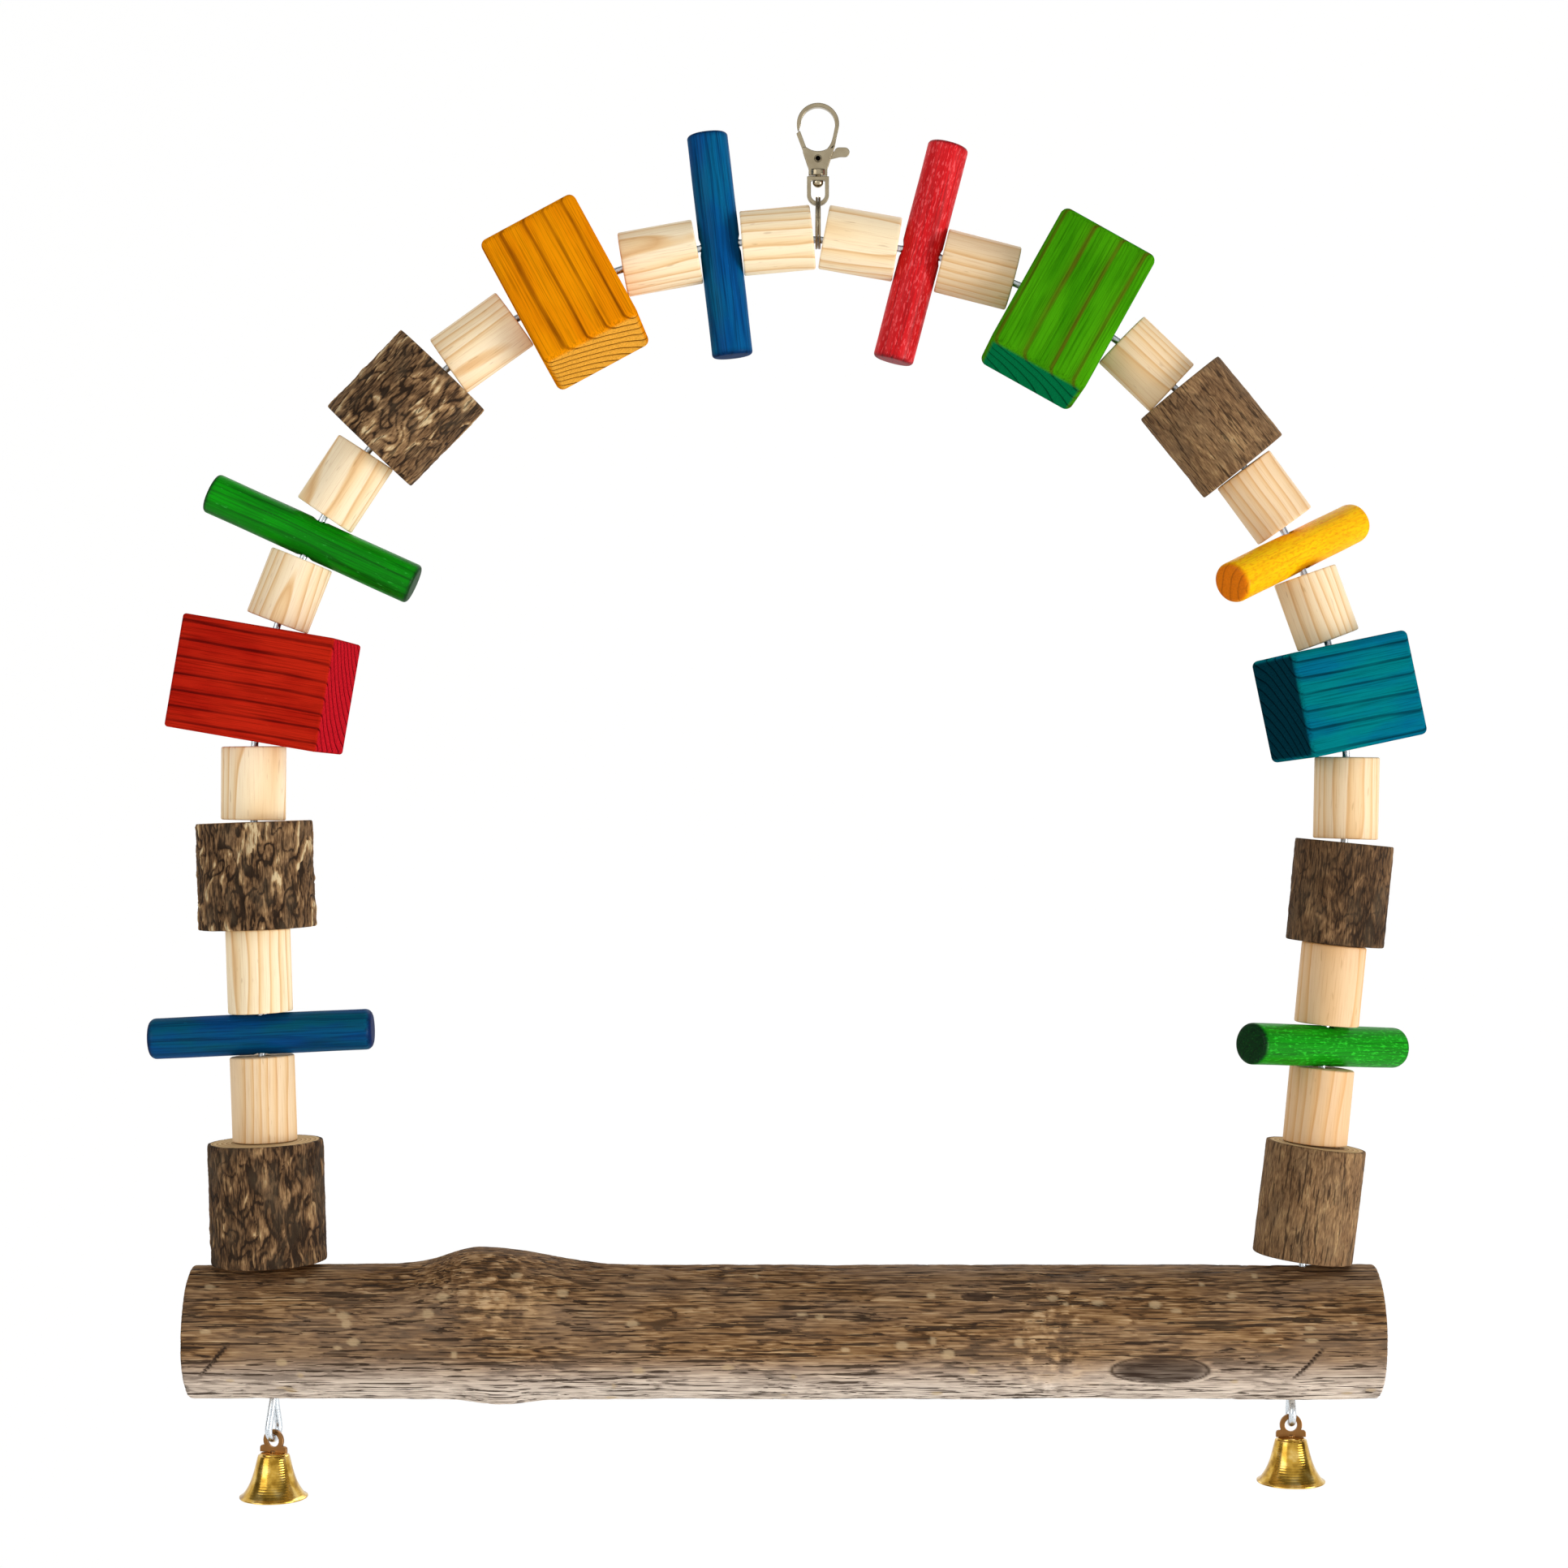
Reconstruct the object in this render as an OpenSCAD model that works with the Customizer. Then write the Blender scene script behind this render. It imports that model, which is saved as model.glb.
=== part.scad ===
// Bird swing: an arch of wooden beads on a steel wire over a branch perch,
// hung by a swivel snap hook, with a bell under each end of the perch.
// Origin: the centre of the hook's bow. +X right, +Y to the back, +Z up.

/* [Arch wire] */
// Radius of the arch, to the middle of its wire
arch_r = 183.6; // [160:0.2:220]
// Thickness of the arch wire
wire_d = 2.5; // [2:0.1:3]
// How far the left leg leans in below the arch, in degrees
left_lean = 2; // [0:0.2:8]
// How far the right leg leans in below the arch, in degrees
right_lean = 5.6; // [0:0.2:8]
// How far the hanging ring sits to the right of the arch's middle
ring_side = 6; // [0:0.5:12]
// Drop of the left bell loop below the perch
left_loop_drop = 14.6; // [12:0.2:20]
// Drop of the right bell loop below the perch
right_loop_drop = 9.4; // [9:0.2:20]
// Radius of a bell loop's round bottom, to the middle of its wire
loop_r = 3.4; // [3:0.1:4.2]
// How far the left bell loop is turned about the upright, in degrees
left_loop_turn = 20; // [0:1:60]

/* [Perch] */
// Thickness of the branch
perch_d = 45; // [38:0.5:52]
// Length of branch beyond each wire hole
perch_overhang = 26.4; // [24:0.2:45]
// How far the branch swells at its knot
knot_swell = 2.2; // [0:0.1:4]
// Radius of the knot's stump
knot_r = 13; // [9:0.5:16]
// Rounding of the branch's sawn ends
perch_end_r = 2.4; // [1:0.2:4]

/* [Beads] */
// Hole through each bead
bead_bore_d = 5.8; // [5.6:0.1:6.4]
// Least gap between two beads
bead_gap = 0.3; // [0.25:0.05:0.8]
// Thickness of a round spacer
dowel_d = 21.5; // [18:0.5:24]
// Nominal length of a round spacer
dowel_len = 25.4; // [22:0.1:29]
// Rounding of a round spacer's rims
dowel_edge_r = 0.6; // [0.3:0.1:1.4]
// Thickness of a cross bar
bar_d = 13.8; // [12:0.1:16]
// Rounding of a cross bar's ends
bar_edge_r = 1.4; // [0.6:0.1:3]
// Length of a cross bar
bar_len = 75; // [66:0.5:80]
// Length of the red block along the wire
red_len = 38; // [32:0.2:40]
// Length of the other blocks along the wire
block_len = 35.2; // [32:0.2:40]
// Depth of a block
block_deep = 38; // [32:0.5:42]
// Width of the red block
red_wide = 52; // [44:0.5:56]
// Width of the orange block
orange_wide = 48; // [42:0.5:54]
// Width of the green block
green_wide = 52; // [44:0.5:56]
// Width of the teal block
teal_wide = 42; // [36:0.5:50]
// Rounding of a block's edges
block_edge_r = 2.4; // [1:0.1:4]
// Thickness of a bark piece on the left
left_bark_d = 39.4; // [32:0.2:42]
// Thickness of a bark piece on the right
right_bark_d = 34; // [30:0.2:42]
// Length of the lowest bark piece on the left
left_low_bark_len = 40.4; // [34:0.2:44]
// Length of the lowest bark piece on the right
right_low_bark_len = 38; // [34:0.2:44]
// Length of the other bark pieces on the left
left_bark_len = 35.6; // [30:0.2:40]
// Length of the other bark pieces on the right
right_bark_len = 34; // [30:0.2:40]

/* [Snap hook] */
// Inner radius of the bow
bow_in_r = 5.7; // [5:0.1:6.5]
// Width of the bow's band
bow_band = 1.4; // [1.1:0.1:1.7]
// Depth of the hook's casting
hook_t = 2.8; // [2.5:0.1:3.4]
// Distance from the bow's centre down to the rivet
rivet_drop = 11.6; // [11:0.1:12.6]
// Width of the hook's body at its top
body_top_w = 10.2; // [9.6:0.1:11.5]
// Width of the hook's body at its foot
body_foot_w = 6.3; // [5.8:0.1:7.5]
// Distance from the rivet down to the body's foot
body_foot_drop = 5.6; // [5.2:0.1:7]
// Thickness of the sprung gate
gate_t = 1.2; // [1:0.05:1.4]
// Width of the gate's arm
gate_arm_w = 1.5; // [1.3:0.1:1.8]
// Reach of the thumb lever from the rivet
lever_reach = 10.6; // [9.5:0.1:12]
// Height of the thumb lever
lever_h = 3.2; // [2.8:0.1:3.6]
// Barrel of the hollow rivet
rivet_d = 1.8; // [1.6:0.05:2]

/* [Swivel and ring] */
// Width of the swivel eye
eye_w = 7.4; // [7:0.1:8.4]
// Height of the swivel eye
eye_h = 9.8; // [9.2:0.1:11.5]
// Thickness of the swivel eye's legs
eye_leg = 1.35; // [1.1:0.05:1.5]
// Depth of the swivel eye
eye_t = 2.4; // [2.2:0.1:3]
// Thickness of the swivel's post
post_d = 1.6; // [1.3:0.05:1.8]
// Width of the post's round head
post_head_d = 3.6; // [3:0.1:3.8]
// Inner radius of the split ring
ring_in_r = 7.4; // [6.6:0.1:8.2]
// Width of the split ring's flat wire
ring_band = 1.4; // [1.1:0.1:1.6]
// Thickness of one turn of the split ring
ring_turn_t = 0.75; // [0.6:0.05:0.85]

/* [Bells] */
// Width of a bell's mouth
bell_mouth_d = 22.8; // [20:0.2:25]
// Width of a bell's crown
bell_crown_d = 10.6; // [10:0.1:12.5]
// Height of a bell
bell_h = 15; // [14:0.1:18]
// Wall of a bell
bell_wall = 0.8; // [0.6:0.05:1]
// Thickness of a bell's flat lug
lug_t = 1; // [0.8:0.05:1.3]
// Radius of the lug's round ear
lug_ear_r = 3.75; // [3.5:0.05:4.2]
// Hole in the lug
lug_hole_d = 4.2; // [3.9:0.1:4.6]
// Distance from the lug's hole down to the bell
lug_drop = 4; // [3.8:0.1:5]
// Ball of a bell's clapper
clapper_d = 4.6; // [4:0.1:5.2]

/* [Hidden] */
$fn = 48;
rad = 180 / PI;
overrun = 1;
wire_r = wire_d / 2;
fit_gap = 0.03;
run_gap = 0.07;
slide_gap = 0.15;
seat_gap = 0.3;
link_gap = 0.45;
swing_gap = 1;

// Colours of the real finishes
pine = "#E9C58F";
bark_brown = "#7A6149";
nickel = "#B8AC90";
zinc = "#DDE3E8";
brass = "#C9A02A";
copper = "#B0702A";

// Round spacers are sawn by eye: lengths from the ring down, as shares of the nominal
left_dowel_shares = [0.935, 1, 1.08, 1, 0.9, 0.97, 1.1, 1.12];
right_dowel_shares = [0.98, 0.98, 0.93, 0.93, 0.92, 1.08, 1.06, 1];

// One row a bead, from the ring down: name, form, length along the wire, width,
// turn about the wire and lean off the wire's own line, in degrees, and colour.
NAME = 0;
FORM = 1;
LONG = 2;
WIDE = 3;
SPIN = 4;
LEAN = 5;
TINT = 6;
LEFT = [
    ["left_16_dowel", "dowel", dowel_len * left_dowel_shares[0], dowel_d, 0, -2.8, pine],
    ["left_15_blue_bar", "bar", bar_d, bar_len, 0, 1.8, "#0A66A6"],
    ["left_14_dowel", "dowel", dowel_len * left_dowel_shares[1], dowel_d, 40, 4.6, pine],
    ["left_13_orange_block", "block", block_len, orange_wide, -8, -3, "#E08A0A"],
    ["left_12_dowel", "dowel", dowel_len * left_dowel_shares[2], dowel_d, 110, 0, pine],
    ["left_11_bark", "bark", left_bark_len, left_bark_d, 0, 0, bark_brown],
    ["left_10_dowel", "dowel", dowel_len * left_dowel_shares[3], dowel_d, 200, 0, pine],
    ["left_9_green_bar", "bar", bar_d, bar_len, 0, -2.4, "#0A8A12"],
    ["left_8_dowel", "dowel", dowel_len * left_dowel_shares[4], dowel_d, 70, 0.5, pine],
    ["left_7_red_block", "block", red_len, red_wide, -5, -1, "#C0251B"],
    ["left_6_dowel", "dowel", dowel_len * left_dowel_shares[5], dowel_d, 300, 0, pine],
    ["left_5_bark", "bark", left_bark_len, left_bark_d, 70, 0, bark_brown],
    ["left_4_dowel", "dowel", dowel_len * left_dowel_shares[6], dowel_d, 160, 0, pine],
    ["left_3_blue_bar", "bar", bar_d, bar_len, 0, -0.6, "#086DA8"],
    ["left_2_dowel", "dowel", dowel_len * left_dowel_shares[7], dowel_d, 20, 0, pine],
    ["left_1_bark", "bark", left_low_bark_len, left_bark_d, 190, 0, bark_brown]
];
RIGHT = [
    ["right_16_dowel", "dowel", dowel_len * right_dowel_shares[0], dowel_d, 250, 3.7, pine],
    ["right_15_red_bar", "bar", bar_d, bar_len, 0, 1.8, "#C4151F"],
    ["right_14_dowel", "dowel", dowel_len * right_dowel_shares[1], dowel_d, 90, -4.6, pine],
    ["right_13_green_block", "block", block_len, green_wide, 4, 0, "#3C9A0F"],
    ["right_12_dowel", "dowel", dowel_len * right_dowel_shares[2], dowel_d, 30, 4.6, pine],
    ["right_11_bark", "bark", right_bark_len, right_bark_d, 120, 2, bark_brown],
    ["right_10_dowel", "dowel", dowel_len * right_dowel_shares[3], dowel_d, 310, -4.4, pine],
    ["right_9_yellow_bar", "bar", bar_d, bar_len, 42, -0.7, "#F9B512"],
    ["right_8_dowel", "dowel", dowel_len * right_dowel_shares[4], dowel_d, 140, -0.9, pine],
    ["right_7_teal_block", "block", block_len, teal_wide, 12, -2.4, "#0D7E98"],
    ["right_6_dowel", "dowel", dowel_len * right_dowel_shares[5], dowel_d, 60, 0, pine],
    ["right_5_bark", "bark", right_bark_len, right_bark_d, 240, 0, bark_brown],
    ["right_4_dowel", "dowel", dowel_len * right_dowel_shares[6], dowel_d, 220, 0, pine],
    ["right_3_green_bar", "bar", bar_d, bar_len, 40, 0, "#0FA81C"],
    ["right_2_dowel", "dowel", dowel_len * right_dowel_shares[7], dowel_d, 330, 0, pine],
    ["right_1_bark", "bark", right_low_bark_len, right_bark_d, 30, 1.5, bark_brown]
];

// Hook, swivel and ring, from the bow's centre down
slot_t = gate_t + 2 * slide_gap;
rivet_z = -rivet_drop;
hub_r = rivet_d * 1.15;
body_top_z = rivet_z + hub_r + slide_gap + seat_gap;
body_foot_z = rivet_z - body_foot_drop;
slot_floor_z = rivet_z - hub_r - seat_gap;
bow_out_r = bow_in_r + bow_band;
gate_sweep_r = norm([bow_in_r + bow_band / 2, rivet_drop - bow_in_r * 0.42]);
gate_open = 26;
eye_top_z = body_foot_z - seat_gap;
eye_window_w = eye_w - 2 * eye_leg;
eye_bar_z = eye_top_z - eye_h + eye_leg;
post_head_h = post_head_d * 0.6;
post_head_top_z = eye_top_z - eye_leg - slide_gap;
ring_t = 2 * ring_turn_t + slide_gap;
ring_z = eye_bar_z + link_gap - ring_in_r;
crown_z = ring_z - ring_in_r + link_gap + wire_r;

// The wire's path: straight legs that run on from the arch's two ends
arch_x = -ring_side;
arch_z = crown_z - sqrt(arch_r * arch_r - ring_side * ring_side);
ring_turn = asin(ring_side / arch_r);
ring_room = ring_t + 2 * swing_gap;
function lean(side) = side > 0 ? right_lean : left_lean;
function last_turn(side) = 90 + lean(side);
function arc_len(side) = (last_turn(side) - side * ring_turn) / rad * arch_r;
function turn_at(side, s) = min(last_turn(side), side * ring_turn + s / arch_r * rad);
function on_arch(side, turn, r = arch_r) =
    [arch_x + side * r * sin(turn), arch_z + r * cos(turn)];
function past_arch(side, s) = max(0, s - arc_len(side));
function wire_at(side, s) =
    on_arch(side, turn_at(side, s))
    + past_arch(side, s) * [-side * sin(lean(side)), -cos(lean(side))];

// Beads are placed from the ring down. Where the wire curves, two neighbours
// touch at their inner rims, so the gap on the wire grows with the turn.
function rim(b) = (b[FORM] == "bar" ? dowel_d : b[WIDE]) / 2 - dowel_edge_r;
function wedge(r, turn) = bead_gap + 2 * r * tan(abs(turn) / 2);
function pitch(side, near, far, s) =
    let (span = (near[LONG] + far[LONG]) / 2)
    let (r = min(rim(near), rim(far)))
    let (lean_step = side * (far[LEAN] - near[LEAN]))
    let (turn = turn_at(side, s + span) - turn_at(side, s) + lean_step)
    let (more = turn_at(side, s + span + wedge(r, turn)) - turn_at(side, s) + lean_step)
    span + wedge(r, more);
function string_down(side, beads, i, s) =
    i == len(beads) - 1 ? [s]
    : concat([s], string_down(side, beads, i + 1, s + pitch(side, beads[i], beads[i + 1], s)));
function strung(side, beads) = string_down(side, beads, 0, ring_room / 2 + beads[0][LONG] / 2);
function foot_at(side, beads) =
    let (last = len(beads) - 1)
    strung(side, beads)[last] + beads[last][LONG] / 2
    + wedge(rim(beads[last]), lean(side) + abs(beads[last][LEAN]));

// The longer string sets the perch's height. The other has its slack spread along it.
left_foot = foot_at(-1, LEFT);
right_foot = foot_at(1, RIGHT);
perch_top_z = min(wire_at(-1, left_foot)[1], wire_at(1, right_foot)[1]);
function reach_to(side, z) = arc_len(side) + (on_arch(side, last_turn(side))[1] - z) / cos(lean(side));
function slack(side, foot) = reach_to(side, perch_top_z) - foot;
left_slack = slack(-1, left_foot);
right_slack = slack(1, right_foot);

// Perch and bell loops
perch_r = perch_d / 2;
perch_z = perch_top_z - perch_r;
perch_foot_z = perch_z - perch_r;
function hole_x(side) = wire_at(side, reach_to(side, perch_z))[0];
perch_left_x = hole_x(-1) - perch_overhang;
perch_right_x = hole_x(1) + perch_overhang;
perch_len = perch_right_x - perch_left_x;
loop_tuck = wire_d * 1.6;
apex_z = perch_foot_z + loop_tuck;
function apex_x(side) = wire_at(side, reach_to(side, apex_z))[0];
function loop_drop(side) = side > 0 ? right_loop_drop : left_loop_drop;
function loop_turn(side) = side > 0 ? 0 : -left_loop_turn;
function loop_z(side) = perch_foot_z - loop_drop(side) + wire_r;

// Bells, from the middle of the loop's wire down
lug_hole_r = lug_hole_d / 2;
lug_hang = lug_hole_r - wire_r - slide_gap;
lug_shoulder_w = bell_crown_d * 0.95;
lug_shoulder_h = lug_drop - lug_ear_r * 0.45;
bell_top = -lug_hang - lug_drop - fit_gap;
neck_r = lug_t;
tab_t = lug_t * 0.8;
tab_hole_r = tab_t;
pin_r = tab_hole_r / 2;
tab_w = tab_t * 3.6;
tab_eye = bell_top - bell_wall - tab_w / 2 - slide_gap;
clapper_hang = tab_eye - (tab_hole_r - pin_r - run_gap);
clapper_ring_r = tab_w / 2;
clapper_ball = clapper_hang - 2 * clapper_ring_r - clapper_d * 0.65;

module upright_slab(t) {
    rotate([90, 0, 0]) translate([0, 0, -t / 2]) linear_extrude(t) children();
}

module body_outline() {
    top = body_top_w / 2;
    foot = body_foot_w / 2;
    polygon([
        [-top, body_top_z + bow_band],
        [-top, body_top_z],
        [-foot, body_foot_z + foot * 0.7],
        [-foot, body_foot_z],
        [foot, body_foot_z],
        [foot, body_foot_z + foot * 0.7],
        [top, body_top_z],
        [top, body_top_z + bow_band]
    ]);
}

module bow_outline() {
    join_z = body_top_z + bow_band;
    difference() {
        union() {
            circle(bow_out_r);
            polygon([
                [0, -bow_in_r * 0.3],
                [bow_out_r * 0.98, -bow_in_r * 0.2],
                [body_top_w / 2 + bow_band * 0.35, join_z],
                [body_top_w / 2, body_top_z],
                [0, body_top_z]
            ]);
        }
        circle(bow_in_r);
        polygon([
            [0, -bow_in_r * 0.2],
            [bow_in_r * 0.98, -bow_in_r * 0.2],
            [body_top_w / 2 - bow_band * 0.75, join_z],
            [0, join_z]
        ]);
        translate([-bow_out_r * 1.5, -bow_out_r * 1.5]) square([bow_out_r * 1.5, bow_out_r * 1.2]);
        translate([0, rivet_z]) intersection() {
            circle(gate_sweep_r + slide_gap);
            translate([-gate_sweep_r * 2, 0]) square([gate_sweep_r * 2, gate_sweep_r * 2]);
        }
    }
}

// Casting with the bow, two cheeks round the gate's slot and a bored foot
module hook_body() {
    color(nickel) difference() {
        union() {
            upright_slab(hook_t) body_outline();
            upright_slab(hook_t) bow_outline();
            translate([0, 0, body_foot_z]) cylinder(h = body_foot_w * 0.3, d = body_foot_w * 0.85);
        }
        upright_slab(hook_t + 2 * overrun) saddle();
        upright_slab(slot_t) translate([-bow_out_r * 2, slot_floor_z])
            square([bow_out_r * 4, rivet_z + lever_h + hub_r - slot_floor_z]);
        rotate([90, 0, 0]) translate([0, rivet_z, -hook_t])
            cylinder(h = 2 * hook_t, r = rivet_d / 2 + fit_gap);
        translate([0, 0, body_foot_z - overrun])
            cylinder(h = post_d + overrun, r = post_d / 2 + fit_gap);
    }
}

// Dished top of the body, which closes the bow's opening from below
module saddle() {
    dish = body_top_w * 0.62;
    translate([0, body_top_z + dish]) circle(dish);
}

// Hollow rivet, closed over both cheeks
module gate_rivet() {
    head = rivet_d * 0.72;
    head_h = rivet_d * 0.18;
    barrel = hook_t + 2 * fit_gap;
    color(nickel) translate([0, 0, rivet_z]) rotate([90, 0, 0]) difference() {
        union() {
            cylinder(h = barrel, r = rivet_d / 2, center = true);
            for (end = [-1, 1])
                translate([0, 0, end * (barrel + head_h) / 2])
                    cylinder(h = head_h, r = head, center = true);
        }
        cylinder(h = hook_t + 2 * overrun, r = rivet_d * 0.3, center = true);
    }
}

// Gate with its hub on the rivet, its arm up to the bow's tip and its thumb lever
module gate_lever() {
    tip = [-(bow_in_r + bow_band / 2), -bow_in_r * 0.42 - rivet_z];
    elbow = [-(body_top_w / 2 - gate_arm_w * 0.6), body_top_z - rivet_z];
    tab = [lever_reach - lever_h / 2, lever_h * 0.72];
    color(nickel) translate([0, 0, rivet_z]) difference() {
        upright_slab(gate_t) {
            circle(hub_r);
            intersection() {
                union() {
                    strip([0, 0], elbow, gate_arm_w);
                    strip(elbow, tip * 1.1, gate_arm_w);
                }
                circle(gate_sweep_r);
            }
            strip([0, 0], tab, lever_h * 0.7);
            strip(tab - [lever_h * 0.6, 0], tab, lever_h);
        }
        rotate([90, 0, 0]) cylinder(h = gate_t + 2 * overrun, r = rivet_d / 2 + run_gap, center = true);
    }
}

// Flat bar with round ends from one point to another
module strip(from, to, w) {
    run = to - from;
    translate(from) rotate([0, 0, atan2(run[1], run[0])]) {
        translate([0, -w / 2]) square([norm(run), w]);
        circle(w / 2);
        translate([norm(run), 0]) circle(w / 2);
    }
}

// Leaf spring in the slot, bent up from the slot's floor to under the lever
module gate_spring() {
    leaf = gate_t * 0.22;
    reach = body_top_w * 0.34;
    foot_z = slot_floor_z + fit_gap + leaf / 2;
    heel = [-reach * 0.5, foot_z];
    bend = [reach * 0.5, foot_z];
    tip = [reach, rivet_z - lever_h * 0.1 - leaf];
    color("silver") upright_slab(gate_t * 0.8) {
        strip(heel, bend, leaf);
        strip(bend, tip, leaf);
    }
}

// Post set in the hook's foot, with a round head that carries the eye
module swivel_post() {
    shank = body_foot_z + post_d - fit_gap - post_head_top_z;
    half = post_head_d / 2;
    dome_r = (half * half + post_head_h * post_head_h) / (2 * post_head_h);
    color(nickel) {
        translate([0, 0, post_head_top_z]) cylinder(h = shank, r = post_d / 2);
        translate([0, 0, post_head_top_z]) rotate_extrude() intersection() {
            translate([0, dome_r - post_head_h]) circle(dome_r);
            translate([0, -post_head_h]) square([half, post_head_h]);
        }
    }
}

// U-shaped eye, bored in its top for the post
module swivel_eye() {
    round_r = eye_w / 2;
    window_r = eye_window_w / 2;
    color(nickel) translate([0, 0, eye_top_z]) difference() {
        upright_slab(eye_t) difference() {
            union() {
                translate([-round_r, -eye_h + round_r]) square([eye_w, eye_h - round_r]);
                translate([0, -eye_h + round_r]) circle(round_r);
            }
            translate([-window_r, -eye_h + round_r]) square([eye_window_w, eye_h - round_r - eye_leg]);
            translate([0, -eye_h + round_r]) circle(window_r);
        }
        translate([0, 0, -eye_leg - overrun])
            cylinder(h = eye_leg + 2 * overrun, r = post_d / 2 + run_gap);
    }
}

// Split ring: two turns of one flat wire, joined where it steps across.
// Each turn's free end stops one step short of the crossing.
module split_ring() {
    step = 12;
    half_t = ring_t / 2;
    half_slit = slide_gap / 2;
    color(nickel) translate([0, 0, ring_z]) rotate([0, 90, 0]) rotate([0, 0, 60]) difference() {
        rotate_extrude() translate([ring_in_r, -half_t]) square([ring_band, ring_t]);
        ring_cut(step / 2, 360 - 2 * step, -half_slit, half_slit);
        ring_cut(0, step, 0, half_t + overrun);
        ring_cut(-2 * step, step, -half_t - overrun, 0);
    }
}

// Cut through the ring's band from one angle on, between two heights
module ring_cut(from, sweep, low, high) {
    rotate([0, 0, from]) rotate_extrude(angle = sweep)
        translate([ring_in_r - overrun, low]) square([ring_band + 2 * overrun, high - low]);
}

// One steel wire: the arch, its two legs and a bell loop at each end
module arch_wire() {
    color(zinc) {
        translate([arch_x, 0, arch_z]) rotate([90, 0, 0])
            rotate([0, 0, 90 - last_turn(1)])
                rotate_extrude(angle = last_turn(1) + last_turn(-1))
                    translate([arch_r, 0]) circle(wire_r);
        for (side = [-1, 1]) {
            leg = reach_to(side, apex_z) - arc_len(side);
            translate([apex_x(side), 0, apex_z]) {
                rotate([0, side * lean(side), 0]) {
                    cylinder(h = leg, r = wire_r);
                    translate([0, 0, leg]) bend();
                }
                bend();
                rotate([0, 0, loop_turn(side)]) bell_loop(apex_z - loop_z(side));
            }
        }
    }
}

// Where the wire is bent by hand, a hair fuller than the wire
module bend() {
    sphere(wire_r + fit_gap);
}

// Teardrop loop that hangs from the origin in the YZ plane
module bell_loop(drop) {
    centre = drop - loop_r;
    spread = asin(loop_r / centre);
    strand = centre * cos(spread);
    rotate([0, 0, 90]) {
        translate([0, 0, -centre]) rotate([90, 0, 0])
            rotate([0, 0, 180 - spread]) rotate_extrude(angle = 180 + 2 * spread)
                translate([loop_r, 0]) circle(wire_r);
        for (side = [-1, 1])
            rotate([0, 180 + side * spread, 0]) {
                cylinder(h = strand, r = wire_r);
                translate([0, 0, strand]) bend();
            }
    }
}

// Branch with its bark on, drilled near each end for the wire
module perch() {
    stations = 48;
    knot_share = 0.29;
    knot_x = perch_left_x + perch_len * knot_share;
    color(bark_brown) difference() {
        union() {
            translate([perch_left_x, 0, perch_z]) rotate([0, 90, 0]) rotate_extrude() polygon(concat(
                [[0, 0], [perch_r - perch_end_r, 0]],
                [for (i = [0:stations]) branch_point(i / stations, knot_share)],
                [[perch_r - perch_end_r, perch_len], [0, perch_len]]
            ));
            translate([knot_x - knot_r * 1.4, 0, perch_z + perch_r + knot_swell - knot_r * 0.7])
                sphere(knot_r);
        }
        for (side = [-1, 1]) {
            drill_z = perch_foot_z - overrun;
            translate([wire_at(side, reach_to(side, drill_z))[0], 0, drill_z])
                rotate([0, side * lean(side), 0])
                    cylinder(h = perch_d + 4 * overrun, r = wire_r + seat_gap);
            translate([apex_x(side), 0, drill_z])
                cylinder(h = loop_tuck + wire_r + overrun + seat_gap, r = wire_d + seat_gap);
        }
    }
}

// Rim of the branch at a share of its length: it swells at the knot and wavers a little
function branch_point(share, knot_share) =
    let (waver_share = 0.012, knot_width_share = 0.05)
    let (off = (share - knot_share) / knot_width_share)
    [
        perch_r * (1 - waver_share * (1 + sin(share * 1130)) / 2) + knot_swell * exp(-off * off),
        perch_end_r + share * (perch_len - 2 * perch_end_r)
    ];

// Round spacer with rounded rims
module dowel_bead(b) {
    r = b[WIDE] / 2;
    half = b[LONG] / 2;
    bore_r = bead_bore_d / 2;
    rotate_extrude() difference() {
        union() {
            translate([0, -half]) square([r - dowel_edge_r, b[LONG]]);
            translate([0, -half + dowel_edge_r]) square([r, b[LONG] - 2 * dowel_edge_r]);
            for (end = [-1, 1])
                translate([r - dowel_edge_r, end * (half - dowel_edge_r)]) circle(dowel_edge_r);
        }
        translate([-r, -half - overrun]) square([r + bore_r, b[LONG] + 2 * overrun]);
    }
}

// Round bar threaded crosswise through its middle
module bar_bead(b) {
    r = b[LONG] / 2;
    half = b[WIDE] / 2;
    difference() {
        rotate([0, 90, 0]) rotate_extrude() {
            translate([0, -half]) square([r - bar_edge_r, b[WIDE]]);
            translate([0, -half + bar_edge_r]) square([r, b[WIDE] - 2 * bar_edge_r]);
            intersection() {
                for (end = [-1, 1])
                    translate([r - bar_edge_r, end * (half - bar_edge_r)]) circle(bar_edge_r);
                translate([0, -half]) square([r, b[WIDE]]);
            }
        }
        cylinder(h = b[LONG] + 2 * overrun, d = bead_bore_d, center = true);
    }
}

// Sawn block with rounded edges
module block_bead(b) {
    difference() {
        intersection() {
            linear_extrude(b[LONG], center = true) soft_square(b[WIDE], block_deep);
            rotate([90, 0, 0]) linear_extrude(block_deep, center = true) soft_square(b[WIDE], b[LONG]);
            rotate([90, 0, 90]) linear_extrude(b[WIDE], center = true) soft_square(block_deep, b[LONG]);
        }
        cylinder(h = b[LONG] + 2 * overrun, d = bead_bore_d, center = true);
    }
}

module soft_square(w, h) {
    square([w - 2 * block_edge_r, h], center = true);
    square([w, h - 2 * block_edge_r], center = true);
    for (x = [-1, 1], y = [-1, 1])
        translate([x * (w / 2 - block_edge_r), y * (h / 2 - block_edge_r)]) circle(block_edge_r);
}

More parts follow.
